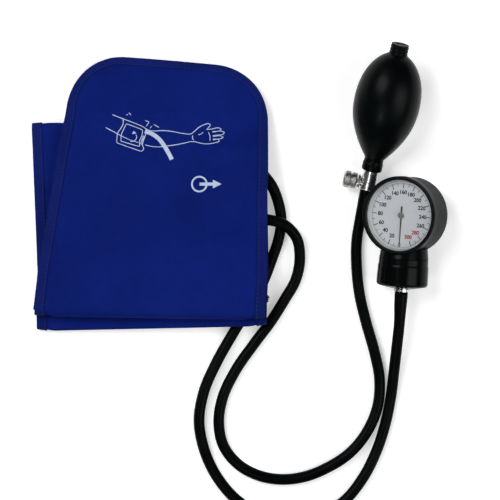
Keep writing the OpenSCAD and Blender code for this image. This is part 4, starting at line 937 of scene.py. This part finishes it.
def moulded(name, colour, rough):
    """Moulded plastic: a fine eroded texture, faint flow clouds and an even gloss."""
    made = Finish(name, colour, rough, shine=0.05)
    made.paint(made.span(made.noise(120, 4), 0.3, 0.7), [c * 0.8 for c in colour], [c * 1.3 for c in colour])
    made.roughen(made.noise(60, 3), rough - 0.05, rough + 0.06)
    made.bump(made.noise(700, 3), 0.04, 0.4)
    return made.material


port_plastic = moulded("port_plastic", (0.006, 0.006, 0.0065), 0.4)
dress(port_plastic, "bladder_ports")

# Bulb
# The pump: a hollow pear of black rubber, moulded with a line along each side. The intake collar has
# three ribs round the intake fitting, and the valve collar grips the valve's spigot.
bulb_frame = stand((149.7, 76.6, 21.7004), ("Z", -12.7), ("X", 104.5))
bulb_r, bulb_wall = 20.8, 2.2
bulb_far, bulb_near = 32.0, 36.5
intake_start, collar_end = 37.8, 44.5
intake_bore, valve_bore = 4.25, 4.65
mould_line, mould_end = 0.1, 36


def turned(name, outline, place, material, sides=96, wave=None, smooth=True):
    """A piece turned round its axis from radius and height pairs: a closed ring, or from axis to axis."""
    outline = np.asarray(outline, float)
    solid = outline[0, 0] == 0
    rows = outline[1:-1] if solid else outline
    turn = np.arange(sides) * math.tau / sides
    r = rows[:, :1] + (wave(rows[:, 1:], turn) if wave else 0 * turn)
    points = np.stack([r * np.cos(turn), r * np.sin(turn), rows[:, 1:] + 0 * turn], -1).reshape(-1, 3)
    faces = quads(len(rows), sides, joined=not solid)
    if solid:
        n, last = len(points), (len(rows) - 1) * sides
        points = np.concatenate([points, [(0, 0, outline[0, 1]), (0, 0, outline[-1, 1])]])
        faces += [(n, (j + 1) % sides, j) for j in range(sides)]
        faces += [(n + 1, last + j, last + (j + 1) % sides) for j in range(sides)]
    return new_piece(name, placed(place, points), faces, material, smooth=smooth)


def rounded(outline, size, ring=True, steps=4):
    """The outline with its corners rounded; size is one size or one for each corner."""
    corners = [np.array(p, float) for p in outline]
    made = []
    for i, p in enumerate(corners):
        here = size if np.isscalar(size) else size[i]
        if here == 0 or (not ring and i in (0, len(corners) - 1)):
            made.append(p)
            continue
        before, after = corners[i - 1] - p, corners[(i + 1) % len(corners)] - p
        far, near = np.linalg.norm(before), np.linalg.norm(after)
        cut = min(here, 0.45 * far, 0.45 * near)
        start, end = p + before / far * cut, p + after / near * cut
        made.append(p + before / far * min(cut * 1.4, 0.49 * far))
        made += [(1 - u)**2 * start + 2 * u * (1 - u) * p + u**2 * end for u in np.linspace(0, 1, steps + 1)]
        made.append(p + after / near * min(cut * 1.4, 0.49 * near))
    return made


def bulb_skin(shrink):
    """The pear's outline from its intake to its valve end, shrunk for the hollow."""
    made = []
    quarter = np.radians(np.linspace(0, 90, 34))
    for length, neck, full, bend, turns in ((-bulb_far, 5.6, 2.3, 0.7, quarter[::-1]),
                                            (bulb_near, 6.1, 2.1, 1.05, quarter[1:])):
        for a in turns:
            share = max(0.0, 1 - math.sin(a)**full)
            made.append((neck - shrink + (bulb_r - neck) * share**bend,
                         (length - math.copysign(shrink, length)) * math.sin(a)))
    return made


def collar_r(h):
    """The intake collar's radius at a height: three soft ribs."""
    ribs = sum(math.exp(-((h + intake_start - c) / 0.55)**4) for c in (0.8, 2.7, 4.6))
    return 5.58 + 0.26 * ribs


def bore_at(h):
    """The least radius of the bulb's hollow at a height, where its two bores run into it."""
    return intake_bore if h < -26.6 else valve_bore if h > 30.9 else 0


outer = [(4.9, -intake_start), (5.35, -intake_start)]
outer += [(collar_r(h), h) for h in np.arange(-37.6, -32.5, 0.16)]
outer += [(5.75, -32.3), (6.1, -32.05), (6.8, -31.85)] + [p for p in bulb_skin(0) if -31.6 < p[1]]
outer += [(6.12, 38.2), (6.15, 39.1), (6.28, 39.4), (6.42, 39.55), (6.45, 39.8), (6.45, 43.6), (6.4, 43.9),
          (6.2, 44.2), (5.9, 44.42), (5.6, collar_end), (5.2, collar_end), (4.75, collar_end)]
outer += [(valve_bore, 44.4), (valve_bore, 34.9)]
outer += [(max(r, bore_at(h)), h) for r, h in bulb_skin(bulb_wall)[::-1]]
outer += [(intake_bore, -30.4), (intake_bore, -37.65), (4.35, -intake_start)]


def mould_lines(h, turn):
    """A thin raised line along each side, where the mould's halves met."""
    beside = np.minimum(np.abs(np.sin(turn)) * 20, 1)
    return mould_line * (1 - beside)**2 * ease((mould_end - np.abs(h)) / 4)


bulb_rubber = Finish("bulb_rubber", (0.0018, 0.0028, 0.003), 0.33, shine=0.06)
bloom = bulb_rubber.noise(38, 5)
bulb_rubber.paint(bulb_rubber.span(bloom, 0.35, 0.7), (0.0012, 0.002, 0.0022), (0.0026, 0.0038, 0.004))
bulb_rubber.roughen(bulb_rubber.noise(80, 4), 0.26, 0.38)
soft_dents = bulb_rubber.bump(bulb_rubber.noise(55, 2), 0.25, 0.25)
bulb_rubber.bump(bulb_rubber.noise(1600, 3), 0.05, 0.5, soft_dents)
pear = turned("rubber_bulb", outer, bulb_frame, bulb_rubber.material, 128, mould_lines)
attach(pear, "base")
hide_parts("bulb_shell")

# Intake fitting
# A moulded black plug, pressed into the bulb's far end, with a woven steel dust screen. A steel ball in a
# brass cage is its check valve. Another such ball, cage and seat sit at the bulb's valve end.
dress(port_plastic, "intake_body")
steel = metal("turned_steel", (0.5, 0.5, 0.5), 0.28)
dress(metal("screen_steel", (0.09, 0.09, 0.085), 0.5), "intake_screen")
dress(steel, "intake_ball", "outlet_ball")
brass = metal("turned_brass", (0.72, 0.47, 0.16), 0.28)
dress(brass, "check_cages", "outlet_seat")

# Valve
# A turned brass body with bright chrome plate, pushed into the bulb. A boss on its left side carries
# the release screw, and its barbed nipple holds the hose.
chrome = metal("bright_chrome", (0.88, 0.89, 0.9), 0.27, uneven=0.04, flecks=0.01)
seal_rubber = black_rubber("seal_rubber", (0.006, 0.006, 0.006), 0.5, 900)
dress(chrome, "valve_body")
dress(seal_rubber, "valve_seal")
dress(steel, "valve_spindle")

# Knob
# The release screw's knob, turned from nickelled brass: two bands of crossed knurling with a groove
# between them, a narrow waist towards the valve, and a rounded outer end.
boss_at, knob_start, knob_bore = 53.4, 7.5, 1.725
knob_frame = bulb_frame @ stand((0, 0, boss_at), ("Y", -90)) @ Matrix.Translation((0, 0, knob_start))
knurls, knurl_deep, knurl_slope = 30, 0.17, 1.1
knurl_r = 5.2
knob_outline = rounded([(knob_bore, 0.05), (4.3, 0.05), (4.9, 0.5), (5.1, 0.6), (5.1, 3.3), (4.75, 3.5),
                        (4.2, 3.7), (4.2, 4.2), (4.9, 4.35), (5.3, 4.55), (5.3, 7.55), (5.0, 7.95),
                        (4.4, 8.45), (3.2, 8.75), (1.9, 8.8), (knob_bore, 8.7)], 0.1, steps=2)


def filled_in(outline, gap):
    """The outline with extra points on its long straight stretches."""
    made = []
    for p, q in zip(outline, outline[1:] + outline[:1]):
        parts = max(1, round(float(np.linalg.norm(np.subtract(q, p))) / gap))
        made += [np.add(p, np.subtract(q, p) * k / parts) for k in range(parts)]
    return made


def knurling(h, turn):
    """Crossed cuts round the knob's two bands."""
    band = between(h, 0.65, 0.9, 3.0, 3.25) + between(h, 4.6, 4.85, 7.25, 7.5)
    lean = h / knurl_r * knurl_slope
    first, second = (np.abs(np.sin((turn + way * lean) * knurls / 2)) for way in (1, -1))
    return knurl_deep * band * (np.minimum(first, second) - 0.45)


knob = turned("knurled_knob", filled_in(knob_outline, 0.22), knob_frame,
              metal("knob_nickel", (0.47, 0.46, 0.43), 0.3, 600, 0.1), 240, knurling)
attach(knob, "valve_knob")
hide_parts("valve_knob")

# Gauge case
# A spun cup of metal with a matt dark grey lacquer, open at the front for the dial. The movement's
# posts stand on its back, and the black housing closes on its side.
gauge_frame = stand((156.5, 5.8, 31.4953), ("Z", -4), ("X", 3.3339), ("Y", -24.8))
lacquer = Finish("case_lacquer", (0.018, 0.02, 0.0195), 0.5, shine=0.06)
speckle = lacquer.noise(700, 3)
lacquer.paint(lacquer.span(speckle, 0.3, 0.7), (0.014, 0.016, 0.0155), (0.022, 0.0245, 0.0238))
lacquer.roughen(lacquer.noise(50, 4), 0.44, 0.58)
lacquer.bump(lacquer.noise(1300, 3), 0.06, 0.6)
dress(lacquer.material, "gauge_case")

# Bezel, lens and dial ring
# A black turned ring is pressed over the case's rim. It holds a clear lens on its gasket, and a
# sloped light grey ring lies between the lens and the dial.
bezel_black = Finish("bezel_black", (0.004, 0.0045, 0.005), 0.34, shine=0.06)
bezel_black.paint(bezel_black.noise(300, 3), (0.003, 0.0035, 0.004), (0.0055, 0.006, 0.0065))
bezel_black.roughen(bezel_black.noise(70, 4), 0.28, 0.4)
bezel_black.bump(bezel_black.noise(1500, 2), 0.03, 0.4)
bezel_in, bezel_r, rim_r, bezel_deep = 22.4, 24.75, 24.05, -6
bezel_outline = rounded([(bezel_in, -0.4), (22.85, 0), (23.9, 0), (24.52, -0.23), (bezel_r, -0.8),
                         (bezel_r, bezel_deep), (rim_r, bezel_deep), (rim_r, -1), (bezel_in, -1)],
                        [0.15, 0.3, 0.4, 0.2, 0.3, 0.3, 0.1, 0.1, 0.1])
bezel = turned("black_bezel", bezel_outline, gauge_frame, bezel_black.material, 144)
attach(bezel, "base")
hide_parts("bezel")

clear = Finish("clear_lens", (0.6, 0.62, 0.64), 0.03, IOR=1.49, Specular_IOR_Level=0.2)
clear.set("Alpha", clear.span(clear.noise(25, 3), 0.3, 0.7, 0.04, 0.06))
clear.roughen(clear.noise(140, 3), 0.02, 0.06)
dress(clear.material, "lens")
dress(seal_rubber, "lens_gasket")
dress(moulded("dial_ring_grey", (0.46, 0.47, 0.47), 0.5), "dial_ring")

# Dial
# A thin aluminium plate with a silvery white lacquer. Its scale is printed in dark grey, from 0 at the
# bottom to 300, with a line every 2, a longer one every 10, and red numbers past the useful range.
silver_white = Finish("dial_lacquer", (0.57, 0.59, 0.62), 0.45, shine=0.2)
silver_white.paint(silver_white.noise(900, 3), (0.55, 0.575, 0.605), (0.6, 0.62, 0.645))
silver_white.roughen(silver_white.noise(60, 3), 0.38, 0.5)
silver_white.bump(silver_white.noise(2500, 2), 0.01, 0.5)
dress(silver_white.material, "dial_plate")
dial_z = -5.25
line_high = 0.03
scale_r, hoop_w = 20.2, 0.12
number_r, number_size, number_bold = 14.5, 3.4, 0.04
per_unit = math.radians(337.5 / 300)
print_dark = moulded("scale_ink", (0.01, 0.011, 0.017), 0.6)
print_red = moulded("warning_ink", (0.33, 0.012, 0.02), 0.6)


def scale_places(values, radius):
    """Places and directions on the scale for given pressures."""
    a = np.asarray(values, float) * per_unit
    out = np.stack([-np.sin(a), -np.cos(a), 0 * a], -1)
    turn = np.array(gauge_frame)[:3, :3]
    up = np.tile(turn @ (0, 0, 1), (len(out), 1))
    return placed(gauge_frame, out * radius + (0, 0, dial_z)), out @ turn.T, up


scale = []
twos = [v for v in range(2, 300, 2) if v % 10]
for kind, values, length, width in (("long", range(0, 301, 20), 3.2, 0.5),
                                    ("middle", range(10, 300, 20), 1.9, 0.36), ("short", twos, 0.9, 0.16)):
    scale.append(repeated("scale_" + kind, *scale_places(list(values), scale_r - length / 2), "bar",
                          (length, width, 2 * line_high), print_dark))
print_low, print_top = dial_z - line_high, dial_z + line_high
hoop_outline = [(scale_r, print_low), (scale_r + hoop_w, print_low), (scale_r + hoop_w, print_top),
                (scale_r, print_top)]
hoop = turned("scale_circle", hoop_outline, gauge_frame, print_dark, 144, smooth=False)
zero_box = []
for x0, x1, y0, y1 in ((-0.9, 0.9, -19.35, -19.2), (-0.9, 0.9, -17.95, -17.8), (-0.9, -0.75, -19.2, -17.95),
                       (0.75, 0.9, -19.2, -17.95)):
    zero_box += [(x0, y0), (x1, y0), (x1, y1), (x0, y1)]
box_points = placed(gauge_frame, [(x, y, z) for z in (print_low, print_top) for x, y in zero_box])
box_faces = []
for k in range(0, 16, 4):
    box_faces += [(k + 3, k + 2, k + 1, k), (16 + k, 17 + k, 18 + k, 19 + k)]
    box_faces += [(k + i, k + (i + 1) % 4, 16 + k + (i + 1) % 4, 16 + k + i) for i in range(4)]
zero_mark = new_piece("scale_zero_box", box_points, box_faces, print_dark, smooth=False)


def numbers(name, values, material):
    """Upright numbers on the dial, as one thin mesh."""
    points, faces = [], []
    for value in values:
        written = bpy.data.curves.new(name, "FONT")
        written.body, written.size, written.resolution_u = str(value), number_size, 3
        written.align_x, written.align_y = "CENTER", "CENTER"
        written.offset, written.extrude = number_bold * number_size, line_high
        holder = bpy.data.objects.new(name, written)
        scene.collection.objects.link(holder)
        flat = bpy.data.meshes.new_from_object(holder.evaluated_get(bpy.context.evaluated_depsgraph_get()))
        at = np.zeros(len(flat.vertices) * 3)
        flat.vertices.foreach_get("co", at)
        at = at.reshape(-1, 3)
        a = value * per_unit
        first = sum(map(len, points))
        points.append(at + (-number_r * math.sin(a), -number_r * math.cos(a), dial_z))
        faces += [tuple(first + i for i in p.vertices) for p in flat.polygons]
        bpy.data.objects.remove(holder)
        bpy.data.meshes.remove(flat)
        bpy.data.curves.remove(written)
    return new_piece(name, placed(gauge_frame, np.concatenate(points)), faces, material, smooth=False)


scale += [hoop, zero_mark, numbers("scale_numbers", range(20, 261, 20), print_dark),
          numbers("scale_red_numbers", (280, 300), print_red)]
for printed in scale:
    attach(printed, "base")

# Pointer
# A thin blued steel pointer with a counterweight tail, riveted to a turned steel hub. The hub is
# pressed on the pinion's staff.
dress(metal("pointer_blued", (0.018, 0.02, 0.024), 0.35), "pointer")
dress(metal("hub_steel", (0.2, 0.18, 0.15), 0.35), "pointer_hub")

# Movement
# Between two brass plates on steel pillars, the capsule's rod pushes a toothed sector, which turns the
# pinion with the pointer. A flat bronze spiral takes up the play. Three screws hold it on the case's posts.
dress(brass, "front_plate", "rear_plate", "pinion_staff", "sector_gear", "hairspring_collet",
      "hairspring_stud")
dress(steel, "plate_pillars", "pillar_screws", "movement_screws", "sector_staff", "push_rod", "capsule_boss")
dress(metal("spring_bronze", (0.62, 0.36, 0.17), 0.3), "hairspring", "capsule_lower", "capsule_upper")

# Capsule cup
# A moulded glossy black housing and cup, pushed together at a seam with a rubber seal between them.
# A nut inside holds the housing to the case, and another holds the capsule and the nipple in the cup.
gloss_black = Finish("cup_gloss_black", (0.0016, 0.002, 0.0022), 0.19, shine=0.055)
gloss_black.paint(gloss_black.noise(200, 3), (0.0012, 0.0016, 0.0018), (0.0026, 0.003, 0.0032))
gloss_black.roughen(gloss_black.noise(60, 4), 0.16, 0.27)
gloss_black.bump(gloss_black.noise(160, 2), 0.05, 0.15)
stem_frame = gauge_frame @ stand((0, 0, -14), ("X", 90))
cup_r, cup_bore, cup_hole = 16.3, 14.45, 3.05
cup_lip, cup_side_end, cup_floor, cup_end = 27.45, 43.6, 43.3, 46.9
dome_r, dome_start = cup_r - 0.9, cup_side_end + 1.1
dome = [(dome_r * u, cup_end - (cup_end - dome_start) * u**2) for u in np.arange(19, 3, -1) / 20]
cup_outline = rounded([(cup_bore, cup_lip), (15.4, cup_lip), (15.6, cup_lip + 0.2), (15.75, 31.5),
                       (16.0, 32.2), (cup_r, cup_side_end), (dome_r, dome_start)],
                      [0.1, 0.08, 0.08, 0.3, 0.3, 0.9, 0.6], ring=False)
cup_outline += dome + [(cup_hole, cup_end), (cup_hole, cup_floor), (cup_bore, cup_floor)]
cup = turned("black_cup", cup_outline, stem_frame, gloss_black.material, 144)
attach(cup, "base")
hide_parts("base_cup")
dress(gloss_black.material, "capsule_housing")
dress(seal_rubber, "housing_seal")
dress(steel, "neck_nut", "nipple_nut")

# Gauge nipple
# A turned brass nipple with chrome plate, which a nut holds in the cup. Its collar shows at the cup's
# end, and the barbs below it hold the hose.
dress(chrome, "gauge_nipple")
